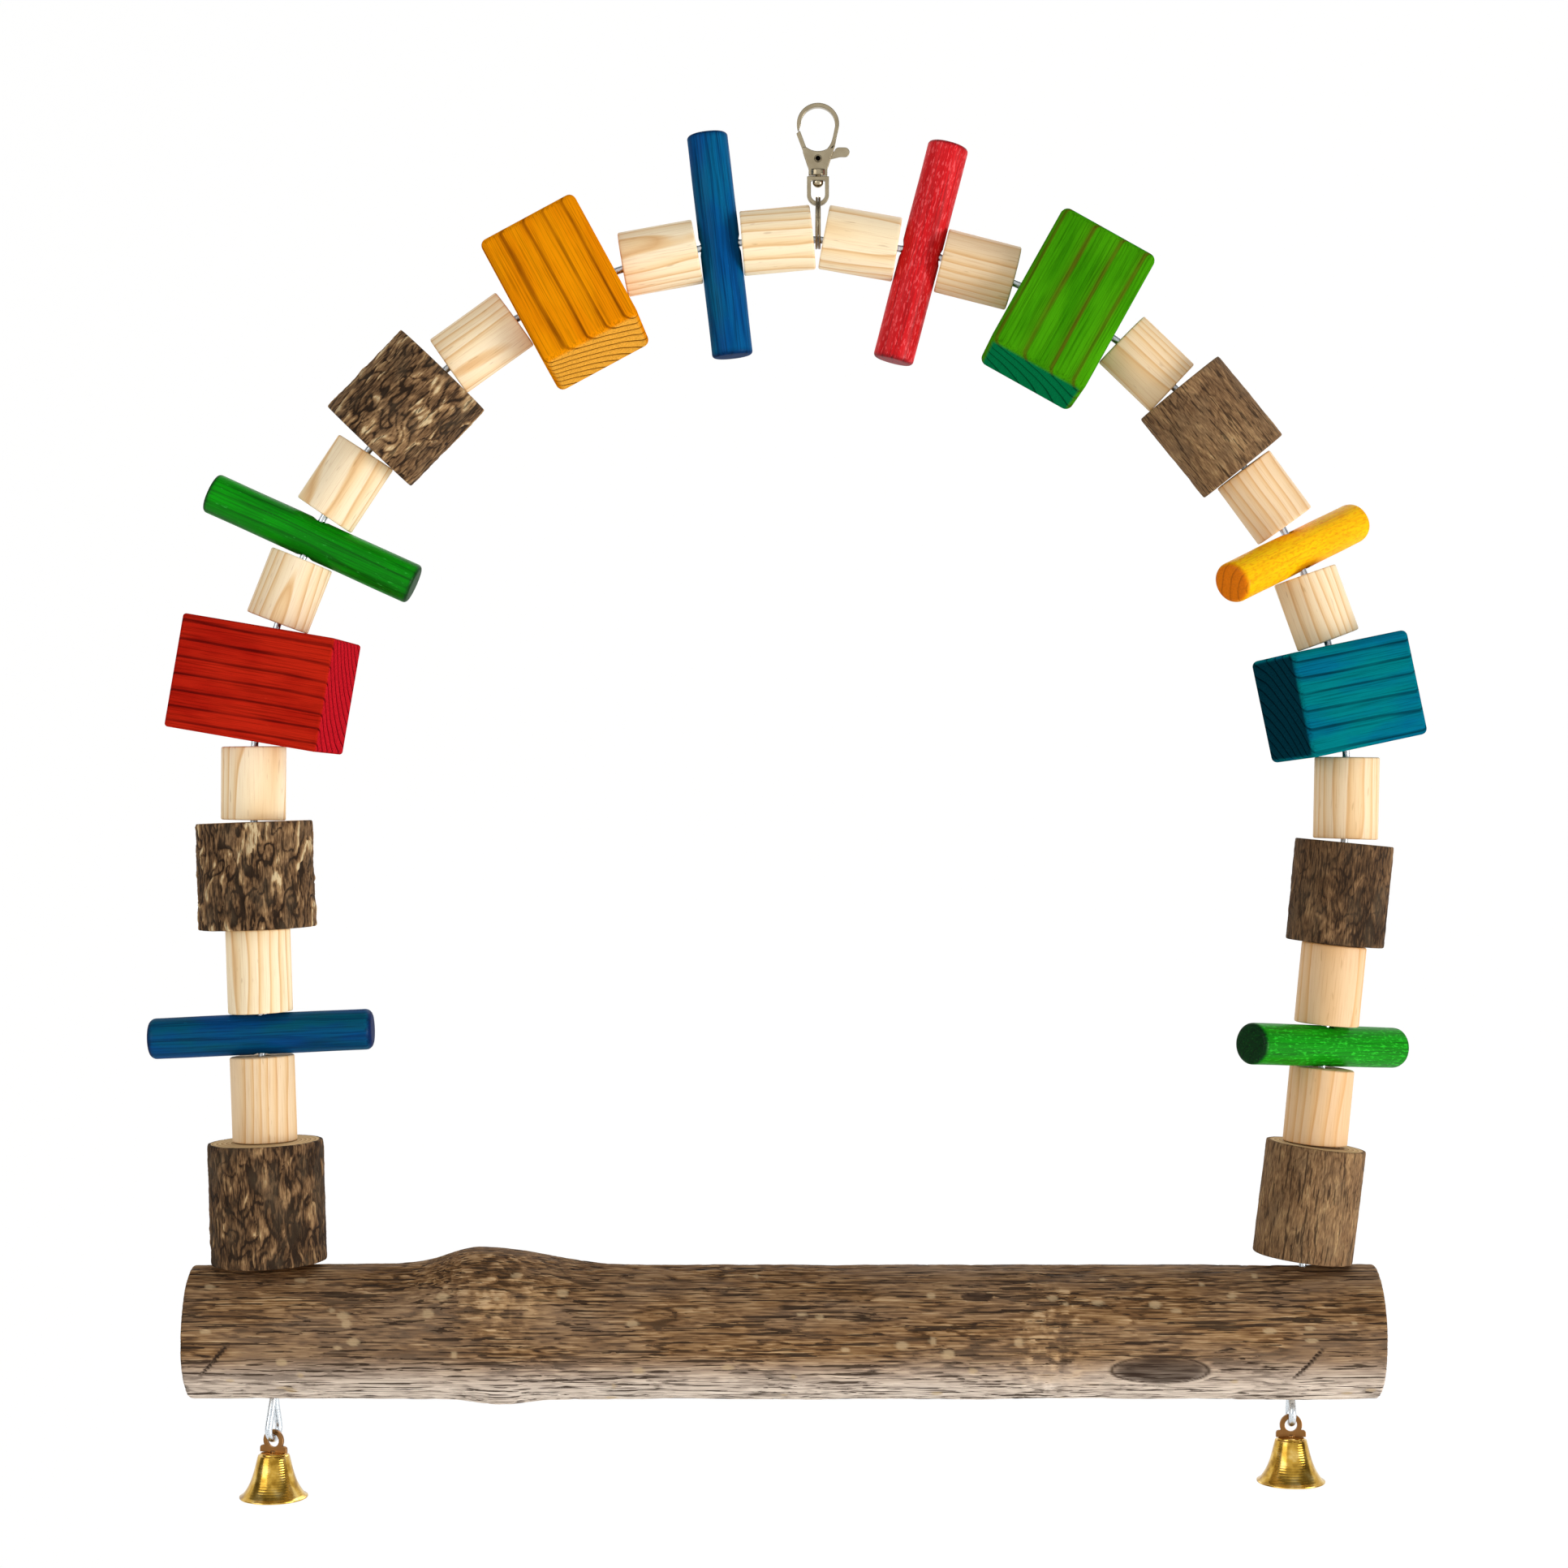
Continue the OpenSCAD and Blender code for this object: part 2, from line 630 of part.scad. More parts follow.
// Slice of a branch with its bark on: not quite round
module bark_bead(b) {
    sides = 30;
    wave_share = 0.022;
    difference() {
        linear_extrude(b[LONG], center = true) polygon([
            for (i = [0:sides - 1])
                let (a = i * 360 / sides)
                let (r = b[WIDE] / 2 * (1 - wave_share * (1 + sin(2 * a + b[SPIN])) / 2
                    - wave_share * (1 + sin(5 * a + 2 * b[SPIN])) / 4))
                r * [cos(a), sin(a)]
        ]);
        cylinder(h = b[LONG] + 2 * overrun, d = bead_bore_d, center = true);
    }
}

// Where a bead's middle lies: on the chord of its stretch of wire
function bead_s(side, beads, i) =
    strung(side, beads)[i] + (side > 0 ? right_slack : left_slack) * (i + 1) / (len(beads) + 1);
function bead_turn(side, beads, i) = turn_at(side, bead_s(side, beads, i));
function chord_drop(side, s, long) = past_arch(side, s) > 0 ? 0 : long * long / (16 * arch_r);
function bead_middle(side, beads, i) =
    let (s = bead_s(side, beads, i), turn = turn_at(side, s))
    wire_at(side, s) - chord_drop(side, s, beads[i][LONG]) * [side * sin(turn), cos(turn)];
function bead_tip(side, beads, i) = -side * (90 - bead_turn(side, beads, i)) + beads[i][LEAN];

module bead(side, beads, i) {
    b = beads[i];
    at = bead_middle(side, beads, i);
    color(b[TINT]) translate([at[0], 0, at[1]]) rotate([0, bead_tip(side, beads, i), 0])
        rotate([0, 0, b[SPIN]]) {
            if (b[FORM] == "dowel") dowel_bead(b);
            if (b[FORM] == "bar") bar_bead(b);
            if (b[FORM] == "block") block_bead(b);
            if (b[FORM] == "bark") bark_bead(b);
        }
}

module at_bell(side) {
    translate([apex_x(side), 0, loop_z(side)]) rotate([0, 0, loop_turn(side)]) children();
}

// Flat lug with an ear on the loop, a neck through the crown and a tab inside
module bell_lug(side) {
    foot = -lug_hang - lug_drop;
    shoulder_r = lug_shoulder_h * 0.45;
    color(copper) at_bell(side) {
        upright_slab(lug_t) difference() {
            union() {
                translate([0, -lug_hang]) circle(lug_ear_r);
                translate([-lug_ear_r * 0.8, foot]) square([lug_ear_r * 1.6, lug_drop]);
                translate([-lug_shoulder_w / 2, foot])
                    square([lug_shoulder_w, lug_shoulder_h - shoulder_r]);
                translate([-lug_shoulder_w / 2 + shoulder_r, foot])
                    square([lug_shoulder_w - 2 * shoulder_r, lug_shoulder_h]);
                for (end = [-1, 1])
                    translate([end * (lug_shoulder_w / 2 - shoulder_r), foot + lug_shoulder_h - shoulder_r])
                        circle(shoulder_r);
            }
            translate([0, -lug_hang]) circle(lug_hole_r);
        }
        translate([0, 0, tab_eye + tab_hole_r + pin_r])
            cylinder(h = foot + lug_t / 2 - tab_eye - tab_hole_r - pin_r, r = neck_r);
        upright_slab(tab_t) difference() {
            translate([0, tab_eye]) union() {
                circle(tab_w / 2);
                translate([-neck_r, 0]) square([2 * neck_r, tab_w / 2 + slide_gap]);
            }
            translate([0, tab_eye]) circle(tab_hole_r);
        }
    }
}

// Spun bell: a stepped crown, a flaring wall and a thickened lip, open below
module bell(side) {
    steps = 14;
    crown_r = bell_crown_d / 2;
    step_h = bell_wall * 0.75;
    lip = bell_wall * 0.5;
    color(brass) at_bell(side) translate([0, 0, bell_top]) rotate_extrude() difference() {
        polygon(concat(
            [[0, 0], [crown_r * 0.84, 0], [crown_r * 0.84, -step_h], [crown_r, -step_h - lip]],
            [for (i = [1:steps - 1]) bell_point(i / steps, step_h + lip, 0)],
            [[bell_mouth_d / 2, -bell_h + lip], [bell_mouth_d / 2, -bell_h], [0, -bell_h]]
        ));
        polygon(concat(
            [[0, -bell_wall], [crown_r - bell_wall - lip, -bell_wall]],
            [for (i = [1:steps]) bell_point(i / steps, step_h + lip, bell_wall)],
            [[bell_mouth_d / 2 - bell_wall, -bell_h - overrun], [0, -bell_h - overrun]]
        ));
        translate([0, -bell_h]) square([neck_r + fit_gap, bell_h + overrun]);
    }
}

// Wall of the bell at a share of its height, set in by a given wall
function bell_point(share, top, wall) =
    let (straight_share = 0.55)
    let (flare = straight_share * share + (1 - straight_share) * pow(share, 4))
    [
        bell_crown_d / 2 + (bell_mouth_d - bell_crown_d) / 2 * flare - wall,
        -top - share * (bell_h - top)
    ];

// Ball on a bent wire, hooked through the lug's tab
module clapper(side) {
    color(zinc) at_bell(side) {
        translate([0, 0, clapper_hang - clapper_ring_r]) rotate([0, 90, 0])
            rotate_extrude() translate([clapper_ring_r, 0]) circle(pin_r);
        translate([0, 0, clapper_ball])
            cylinder(h = clapper_hang - 2 * clapper_ring_r - clapper_ball, r = pin_r * 1.3);
        translate([0, 0, clapper_ball]) sphere(clapper_d / 2);
    }
}

hook_body();
gate_rivet();
gate_lever();
gate_spring();
swivel_post();
swivel_eye();
split_ring();
arch_wire();
perch();
for (i = [0:len(LEFT) - 1])
    bead(-1, LEFT, i);
for (i = [0:len(RIGHT) - 1])
    bead(1, RIGHT, i);
bell_lug(-1);  // left_bell_lug
bell(-1);  // left_bell
clapper(-1);  // left_clapper
bell_lug(1);  // right_bell_lug
bell(1);  // right_bell
clapper(1);  // right_clapper
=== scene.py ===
import math
import random

import bmesh
import bpy
import numpy as np
from mathutils import Matrix, Vector, noise


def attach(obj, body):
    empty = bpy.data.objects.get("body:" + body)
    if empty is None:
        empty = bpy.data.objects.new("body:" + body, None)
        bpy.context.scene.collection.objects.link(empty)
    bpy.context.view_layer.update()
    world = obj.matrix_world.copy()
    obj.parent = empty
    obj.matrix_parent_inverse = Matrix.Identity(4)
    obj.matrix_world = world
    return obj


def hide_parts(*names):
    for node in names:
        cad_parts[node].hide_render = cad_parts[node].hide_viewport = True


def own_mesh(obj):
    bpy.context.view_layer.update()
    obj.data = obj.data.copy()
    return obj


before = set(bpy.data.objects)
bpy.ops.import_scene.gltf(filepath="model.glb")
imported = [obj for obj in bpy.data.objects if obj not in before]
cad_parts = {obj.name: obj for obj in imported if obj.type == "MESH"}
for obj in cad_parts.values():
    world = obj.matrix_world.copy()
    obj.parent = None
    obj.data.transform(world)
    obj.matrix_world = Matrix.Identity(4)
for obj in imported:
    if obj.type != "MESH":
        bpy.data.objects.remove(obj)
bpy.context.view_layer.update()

# Lengths in this file are in millimetres, and Blender's are in metres.
MM = 0.001


# Snap hook casting: the bow, two cheeks round the gate and a bored foot. It is a zinc die casting, tumbled
# and nickel plated, so its edges are soft, its flats are faintly uneven and the plating is a warm grey. Its
# rounded edges and its hollows are painted darker, as painted shade.
def linear(colour):
    """The linear colour of an sRGB hex value."""
    parts = [int(colour[i : i + 2], 16) / 255 for i in (1, 3, 5)]
    return [p / 12.92 if p <= 0.04045 else ((p + 0.055) / 1.055) ** 2.4 for p in parts] + [1.0]


def output(source):
    """The socket that a link starts from: a socket itself, or a node's own result."""
    if isinstance(source, bpy.types.NodeSocket):
        return source
    return source.outputs[2 if source.bl_idname == "ShaderNodeMix" else 0]


def add(tree, kind, settings=None, links=None):
    """A node with its settings, each an attribute, a socket or a ramp, and its links."""
    made = tree.nodes.new("ShaderNode" + kind)
    sockets = made.inputs
    if kind == "Mix":
        made.data_type = "RGBA"
        sockets = {"Factor": made.inputs[0], "A": made.inputs[6], "B": made.inputs[7]}
    for key, value in (settings or {}).items():
        if key == "ramp":
            stops = made.color_ramp.elements
            while len(stops) < len(value):
                stops.new(0.5)
            for stop, (at, colour) in zip(stops, value):
                stop.position = at
                stop.color = linear(colour)
        elif isinstance(key, str) and hasattr(made, key):
            setattr(made, key, value)
        else:
            sockets[key].default_value = value
    for key, source in (links or {}).items():
        tree.links.new(output(source), sockets[key])
    return made


def new_material(name, **sockets):
    """A material, its tree and its shader, with the shader's even values set."""
    made = bpy.data.materials.new(name)
    made.use_nodes = True
    shader = made.node_tree.nodes["Principled BSDF"]
    for key, value in sockets.items():
        shader.inputs[key.replace("_", " ")].default_value = value
    return made, made.node_tree, shader


def join(tree, shader, **sources):
    """Links nodes into the shader's sockets."""
    for key, source in sources.items():
        tree.links.new(output(source), shader.inputs[key.replace("_", " ")])


def ramp(tree, share, *stops):
    """A tone by a share, blended between stops of a place and a colour."""
    return add(tree, "ValToRGB", {"ramp": stops}, {"Fac": share})


def ranged(tree, value, low, high, to_low=0.0, to_high=1.0):
    """A value carried from one range to another and kept inside it."""
    settings = {"From Min": low, "From Max": high, "To Min": to_low, "To Max": to_high}
    return add(tree, "MapRange", settings, {"Value": value})


def relief(tree, height, strength, depth_mm):
    """A fine relief, too shallow for the mesh, that only bends the light."""
    return add(tree, "Bump", {"Strength": strength, "Distance": depth_mm * MM}, {"Height": height})


def metal(name, worn, plain, hollow_shade, grit_mm, rough_low, rough_high, relief_mm):
    """A metal with a tone on its faces, painted shade in its hollows and a tone on its edges, which is wear
    where it is paler than the faces and painted shade where it is darker.
    """
    made, tree, shader = new_material(name, Metallic=1.0)
    place = add(tree, "TexCoord").outputs["Object"]
    bend = add(tree, "NewGeometry").outputs["Pointiness"]
    cloud = add(tree, "TexNoise", {"Scale": 1 / (4 * MM), "Detail": 4.0}, {"Vector": place})
    grit = add(tree, "TexNoise", {"Scale": 1 / (grit_mm * MM), "Detail": 3.0}, {"Vector": place})
    edge = ranged(tree, bend, 0.45, 0.56)
    tone = ramp(tree, edge, (0.0, hollow_shade), (0.42, plain), (0.62, plain), (1.0, worn))
    # Painted shade in corners, up to 1.5 mm out of them.
    near = {"samples": 8, "only_local": True, "Distance": 1.5 * MM}
    open_sky = add(tree, "AmbientOcclusion", near)
    corner_shade = ramp(tree, open_sky.outputs["AO"], (0.35, hollow_shade), (0.85, "#FFFFFF"))
    corner_shaded = add(tree, "Mix", {"blend_type": "MULTIPLY", "Factor": 0.85}, {"A": tone, "B": corner_shade})
    haze = {"blend_type": "MULTIPLY", "B": linear("#C8C0B2")}
    stained = add(tree, "Mix", haze, {"Factor": cloud, "A": corner_shaded})
    rough = ranged(tree, cloud, 0, 1, rough_low, rough_high)
    bump = relief(tree, grit, 0.6, relief_mm)
    join(tree, shader, Base_Color=stained, Roughness=rough, Normal=bump)
    return made


def dress(node, material):
    """A CAD node takes the material."""
    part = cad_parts[node]
    for place in part.material_slots:
        place.material = material
    return part


def soften(part, voxel_mm, rounds):
    """Tumbled edges: the piece's faces are remade fine and their corners eased."""
    fine = part.modifiers.new("fine", "REMESH")
    fine.mode = "VOXEL"
    fine.voxel_size = voxel_mm * MM
    fine.use_smooth_shade = True
    ease = part.modifiers.new("ease", "SMOOTH")
    ease.factor = 0.5
    ease.iterations = rounds


# Nickel over zinc: a warm grey mirror, blurred by the casting's skin. The skin's real
# grain of 0.1 mm is drawn at 0.5 mm, as coarse as it needs to show.
# The edge tone #6A604C and the hollow tone #382F22 are painted shade.
nickel_casting = metal("nickel_plated_casting", "#6A604C", "#B4A88E", "#382F22", 0.5, 0.2, 0.36, 0.03)
soften(dress("hook_body", nickel_casting), 0.13, 4)


def mesh_object(name, points, faces, material, smooth_degrees=35):
    """An object of points in millimetres, shaded smooth up to an angle between faces."""
    mesh = bpy.data.meshes.new(name)
    mesh.from_pydata([tuple(float(c) * MM for c in p) for p in points], [], faces)
    mesh.update()
    made = bpy.data.objects.new(name, mesh)
    bpy.context.scene.collection.objects.link(made)
    shade(made, smooth_degrees)
    mesh.materials.append(material)
    return made


def shade(obj, smooth_degrees):
    """Smooth shading, with a crease wherever two faces meet at more than an angle."""
    bm = bmesh.new()
    bm.from_mesh(obj.data)
    bmesh.ops.recalc_face_normals(bm, faces=bm.faces)
    bm.to_mesh(obj.data)
    bm.free()
    obj.data.polygons.foreach_set("use_smooth", [True] * len(obj.data.polygons))
    obj.data.set_sharp_from_angle(angle=math.radians(smooth_degrees))


def loft(rings, caps=True):
    """Faces over rows of points with the same count, each row closed on itself."""
    rows, count = len(rings), len(rings[0])
    faces = [
        (i * count + j, i * count + (j + 1) % count, (i + 1) * count + (j + 1) % count, (i + 1) * count + j)
        for i in range(rows - 1)
        for j in range(count)
    ]
    if caps:
        faces += [tuple(range(count))[::-1], tuple(range((rows - 1) * count, rows * count))]
    return [p for ring in rings for p in ring], faces


# The bow's right leg, cast in one with the bow and the body: it comes down from the
# bow's widest point and runs out into the dished top of the body.
hook_half_t = 1.4
# Height, and the leg's inner and outer edge there.
leg_line = [
    (-0.2, 5.9, 6.9),
    (-0.7, 5.72, 7.02),
    (-1.6, 5.54, 6.86),
    (-2.6, 5.34, 6.64),
    (-3.6, 5.13, 6.43),
    (-4.6, 4.9, 6.22),
    (-5.6, 4.62, 6.01),
    (-6.4, 4.33, 5.84),
    (-7.0, 4.03, 5.71),
    (-7.5, 3.7, 5.6),
    (-7.9, 3.38, 5.48),
    (-8.3, 3.1, 5.34),
    (-8.6, 3.1, 5.2),
]
ease = 0.1
leg_rings = []
for z, inner, outer in leg_line:
    corners = [(inner, -hook_half_t + ease), (inner + ease, -hook_half_t), (outer - ease, -hook_half_t)]
    corners += [(outer, -hook_half_t + ease)]
    leg_rings.append([(x, y, z) for x, y in corners] + [(x, -y, z) for x, y in corners[::-1]])
bow_leg = mesh_object("hook_bow_leg", *loft(leg_rings), nickel_casting)
soften(bow_leg, 0.13, 2)
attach(bow_leg, "hook")


# Gate: one stamped lever with its arm to the bow's tip and its thumb plate, on a
# hollow rivet closed over both cheeks, pushed shut by a bent leaf of spring steel.
# Its edge tone #746A54 and hollow tone #3C3326 are painted shade.
nickel_stamping = metal("nickel_plated_stamping", "#746A54", "#B8AC92", "#3C3326", 0.8, 0.2, 0.36, 0.02)
soften(dress("gate_lever", nickel_stamping), 0.11, 6)


def round_circle(count):
    """Evenly spaced angles, once round."""
    return [2 * math.pi * i / count for i in range(count)]


def stand_for(obj, node, body):
    """A detailed piece replaces its CAD node and rides on that node's body."""
    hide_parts(node)
    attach(obj, body)


# The rivet's shank is flared open at the front and closed at the back. Its bore is unplated steel, painted
# near black as the shade inside the hole.
rivet_z = -11.6
rivet_line = [(0.02, 1.74), (0.7, 1.75), (1.15, 1.72), (1.28, 1.62), (1.29, 1.45), (0.9, 1.43), (0.9, -1.43)]
rivet_line += [(1.29, -1.45), (1.28, -1.62), (1.18, -1.72), (1.0, -1.75), (0.86, -1.72), (0.79, -1.6)]
rivet_line += [(0.76, -1.3), (0.74, -0.7), (0.5, -0.6), (0.02, -0.58)]
rivet_rings = [
    [(r * math.cos(a), y, rivet_z + r * math.sin(a)) for a in round_circle(40)] for r, y in rivet_line
]
rivet = mesh_object("gate_rivet_flared", *loft(rivet_rings), nickel_stamping)
# The bore's near-black steel is painted shade.
shaded_bore_steel = metal("shaded_bore_steel", "#4A3A2C", "#241A14", "#120C08", 0.3, 0.4, 0.6, 0.01)
rivet.data.materials.append(shaded_bore_steel)
for face in rivet.data.polygons:
    middle = face.center / MM
    face.material_index = int(middle.y < 0 and math.hypot(middle.x, middle.z - rivet_z) < 0.8)
stand_for(rivet, "gate_rivet", "hook")

# Spring steel, blued by its hardening, with the long scratches of its rolling.
spring_steel = metal("spring_steel", "#B9BDC2", "#7E848C", "#4A4E55", 0.3, 0.25, 0.4, 0.01)
leaf_t = 0.26
leaf_half_w = 0.48
leaf_line = [(-1.73, -13.81), (-0.9, -13.81), (0.2, -13.81), (1.2, -13.8), (1.7, -13.72), (2.1, -13.44)]
leaf_line += [(2.5, -13.07), (2.9, -12.7), (3.3, -12.33), (3.42, -12.2)]
rings = []
for i, (x, z) in enumerate(leaf_line):
    before, after = leaf_line[max(i - 1, 0)], leaf_line[min(i + 1, len(leaf_line) - 1)]
    slope = math.atan2(after[1] - before[1], after[0] - before[0])
    nx, nz = -math.sin(slope) * leaf_t / 2, math.cos(slope) * leaf_t / 2
    narrow = leaf_half_w - (0.1 if i in (0, len(leaf_line) - 1) else 0.0)
    rings.append([(x + nx * v, u * narrow, z + nz * v) for u, v in ((-1, -1), (1, -1), (1, 1), (-1, 1))])
leaf = mesh_object("gate_spring_leaf", *loft(rings), spring_steel)
stand_for(leaf, "gate_spring", "hook")
# The lever presses the leaf flat as the gate opens.
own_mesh(leaf)


# Swivel: a turned post peened into the hook's foot, whose round head carries a cast
# eye. Both are nickel plated. The eye turns on the post.
# Its edge tone #8A7F68 and hollow tone #3C3326 are painted shade.
nickel_turning = metal("nickel_plated_turning", "#8A7F68", "#B8AC92", "#3C3326", 0.35, 0.16, 0.3, 0.015)
soften(dress("swivel_post", nickel_turning), 0.1, 2)
soften(dress("swivel_eye", nickel_casting), 0.13, 6)


# Split ring: nearly two turns of flat nickel-plated wire, wound tight, that step
# across at one place, where a link is worked in.
ring_z = -32.9
ring_in_r = 7.4
ring_band = 1.4
ring_turn_t = 0.75
ring_layer = 0.45
corner = 0.16
section = []
for quarter in range(4):
    for step in range(4):
        a = math.radians(quarter * 90 + step * 30)
        sx = (1, -1, -1, 1)[quarter] * (ring_turn_t / 2 - corner) + corner * math.cos(a)
        sr = (1, 1, -1, -1)[quarter] * (ring_band / 2 - corner) + corner * math.sin(a)
        section.append((sx, sr))
turn_step = 2
first_turn = 72
last_turn = 756
cross_turn = 396
cross_over = 36
rings = []
for turn in range(first_turn, last_turn + turn_step, turn_step):
    cross = min(1, max(0, (turn - cross_turn) / cross_over))
    layer = ring_layer * (1 - 2 * (3 * cross**2 - 2 * cross**3))
    a = math.radians(turn)
    band = [(layer + sx, ring_in_r + ring_band / 2 + sr) for sx, sr in section]
    rings.append([(x, r * math.sin(a), ring_z - r * math.cos(a)) for x, r in band])
split_ring = mesh_object("split_ring_wound", *loft(rings), nickel_turning)
stand_for(split_ring, "split_ring", "ring")


# Arch wire: one length of zinc-plated spring wire that is the arch, both legs and,
# below the perch, a teardrop loop at each end, whose tail is tucked up the leg's hole.
wire_r = 1.25
arch_r = 183.6
arch_middle = Vector((-6, 0, -222.102))
leg_lean = {-1: 2.0, 1: 5.6}
loop_bottom = {-1: Vector((-182.677, 0, -440.906)), 1: Vector((158.728, 0, -435.706))}
loop_turn = {-1: math.radians(-20), 1: 0.0}
loop_r = 3.4
apex_z = -423.556


def loop_path(side):
    """The wire from its tucked tail down round the loop and back to the foot of the leg."""
    foot = Vector((loop_bottom[side].x, 0, apex_z))
    drop = apex_z - loop_bottom[side].z - loop_r
    spread = math.asin(loop_r / drop)
    across = Vector((math.sin(-loop_turn[side]), math.cos(-loop_turn[side]), 0))
    path = [foot + across * 2.6 + Vector((0, 0, 9)), foot + across * 2.4 + Vector((0, 0, 4))]
    path += [foot + across * 1.3 + Vector((0, 0, 1))]
    for i in range(25):
        a = -spread + (math.pi + 2 * spread) * i / 24
        around = -across * math.cos(a) * loop_r - Vector((0, 0, 1)) * math.sin(a) * loop_r
        path.append(foot - Vector((0, 0, drop)) + around)
    path.append(foot - across * 0.2)
    return path


def smooth_path(points, spacing):
    """Evenly spaced points along a path, with its corners rounded off."""
    line = [Vector(p) for p in points]
    for _ in range(3):
        finer = [line[0]]
        for p, q in zip(line, line[1:]):
            finer += [p.lerp(q, 0.25), p.lerp(q, 0.75)]
        line = finer + [line[-1]]
    out, left = [line[0]], spacing
    for p, q in zip(line, line[1:]):
        run = (q - p).length
        while run >= left and run > 0:
            p = p.lerp(q, left / run)
            out.append(p)
            run = (q - p).length
            left = spacing
        left -= run
    return out + [line[-1]]


def sweep(path, radius, sides=14):
    """Rings of points round a path, each frame carried on from the last."""
    rings, normal = [], None
    for i, p in enumerate(path):
        ahead = (path[min(i + 1, len(path) - 1)] - path[max(i - 1, 0)]).normalized()
        if normal is None:
            normal = ahead.orthogonal().normalized()
        normal = (normal - ahead * normal.dot(ahead)).normalized()
        other = ahead.cross(normal)
        spokes = [normal * math.cos(t) + other * math.sin(t) for t in round_circle(sides)]
        rings.append([tuple(p + spoke * radius) for spoke in spokes])
    return rings


arch_path = []
for i in range(181):
    turn = math.radians(-90 - leg_lean[-1] + (180 + leg_lean[-1] + leg_lean[1]) * i / 180)
    arch_path.append(arch_middle + arch_r * Vector((math.sin(turn), 0, math.cos(turn))))
left_loop = loop_path(-1)
right_loop = loop_path(1)[::-1]
wire_path = smooth_path(left_loop, 0.8) + smooth_path(
    [left_loop[-1] + Vector((0, 0, 1.5)), *arch_path, right_loop[0] + Vector((0, 0, 1.5))], 2.0
)
wire_path += smooth_path(right_loop, 0.8)

# Bright zinc on drawn wire: cold white metal with the dies' long fine scratches.
zinc_wire, tree, shader = new_material("zinc_plated_wire", Metallic=1.0)
place = add(tree, "TexCoord").outputs["Object"]
scratches = {"Scale": 1 / (0.4 * MM), "Detail": 3.0, "Distortion": 0.4}
drawn = add(tree, "TexNoise", scratches, {"Vector": place})
tone = ramp(tree, drawn, (0.3, "#AEB6BD"), (0.6, "#E8EEF2"))
rough = ranged(tree, drawn, 0, 1, 0.18, 0.4)
bump = relief(tree, drawn, 0.4, 0.02)
join(tree, shader, Base_Color=tone, Roughness=rough, Normal=bump)
arch_wire = mesh_object("arch_wire_bent", *loft(sweep(wire_path, wire_r)), zinc_wire)
stand_for(arch_wire, "arch_wire", "arch")


# Pine spacers: sixteen lengths of machined dowel, drilled down the middle, with their
# rims eased by tumbling. Each was cut from its own place in a board, so no two show
# the same growth rings.
bead_bore_r = 2.9
dowel_r = 10.75
edge_r = 0.6
# Name, X, Z, lean from upright, turn about the wire, length and the wood's tint towards tan, which on
# right_4 and right_2 also stands for painted shade.
dowels = [
    ("left_16_dowel", -13.688, -38.855, 84.798, 0, 23.75, 0),
    ("left_14_dowel", -52.975, -44.84, 79.757, 40, 25.4, 0),
    ("left_12_dowel", -112.906, -73.152, 54.332, 110, 27.43, 0.05),
    ("left_10_dowel", -158.655, -120.491, 33.649, 200, 25.4, 0.1),
    ("left_8_dowel", -177.294, -156.513, 21.452, 70, 22.86, 0.15),
    ("left_6_dowel", -189.39, -221.053, 0.328, 300, 24.64, 0),
    ("left_4_dowel", -187.553, -283.919, -2.0, 160, 27.94, 0.05),
    ("left_2_dowel", -186.059, -326.699, -2.0, 20, 28.45, 0.6),
    ("right_16_dowel", 14.292, -39.839, -79.947, 250, 24.89, 0.05),
    ("right_14_dowel", 53.487, -48.629, -75.672, 90, 24.89, 0.6),
    ("right_12_dowel", 110.32, -80.296, -46.039, 30, 23.62, 0.5),
    ("right_10_dowel", 149.741, -125.231, -36.282, 310, 23.62, 0.6),
    ("right_8_dowel", 167.309, -162.062, -20.008, 140, 23.37, 0.3),
    ("right_6_dowel", 177.303, -225.985, 1.214, 60, 27.43, 0.5),
    ("right_4_dowel", 171.969, -288.506, 5.6, 220, 26.92, 0.9),
    ("right_2_dowel", 167.995, -329.043, 5.6, 330, 25.4, 1),
]


def thread(obj, x, z, lean, spin):
    """Puts a bead on the wire: turned about it, leaned with it and moved to its place."""
    obj.matrix_world = (
        Matrix.Translation((x * MM, 0, z * MM))
        @ Matrix.Rotation(math.radians(lean), 4, "Y")
        @ Matrix.Rotation(math.radians(spin), 4, "Z")
    )


def mark(obj, name, values):
    """Keeps a number, or three, at every point of a piece for its material to read."""
    values = np.asarray(values, dtype=np.float32)
    kind = "FLOAT_VECTOR" if values.ndim == 2 else "FLOAT"
    layer = obj.data.attributes.new(name, kind, "POINT")
    layer.data.foreach_set("vector" if values.ndim == 2 else "value", values.ravel())


def points_of(obj):
    """A piece's points in millimetres, in its own frame."""
    flat = np.empty(len(obj.data.vertices) * 3)
    obj.data.vertices.foreach_get("co", flat)
    return flat.reshape(-1, 3) / MM


def in_the_log(obj, grain, pith, seed):
    """Marks each point's place in the log: its grain along Z and the pith off to a side."""
    own = points_of(obj)
    order = {"Z": (0, 1, 2), "X": (1, 2, 0)}[grain]
    mark(obj, "log_mm", own[:, order] + np.array([pith[0], pith[1], 900.0 * seed]))


def marked(tree, name, kind="Fac"):
    """What mark() keeps under a name."""
    return add(tree, "Attribute", {"attribute_name": name}).outputs[kind]


def calc(tree, operation, *terms):
    """Arithmetic on terms that are each a number or a node."""
    numbers = {i: term for i, term in enumerate(terms) if isinstance(term, (int, float))}
    nodes = {i: term for i, term in enumerate(terms) if i not in numbers}
    return add(tree, "Math", {"operation": operation, **numbers}, nodes)


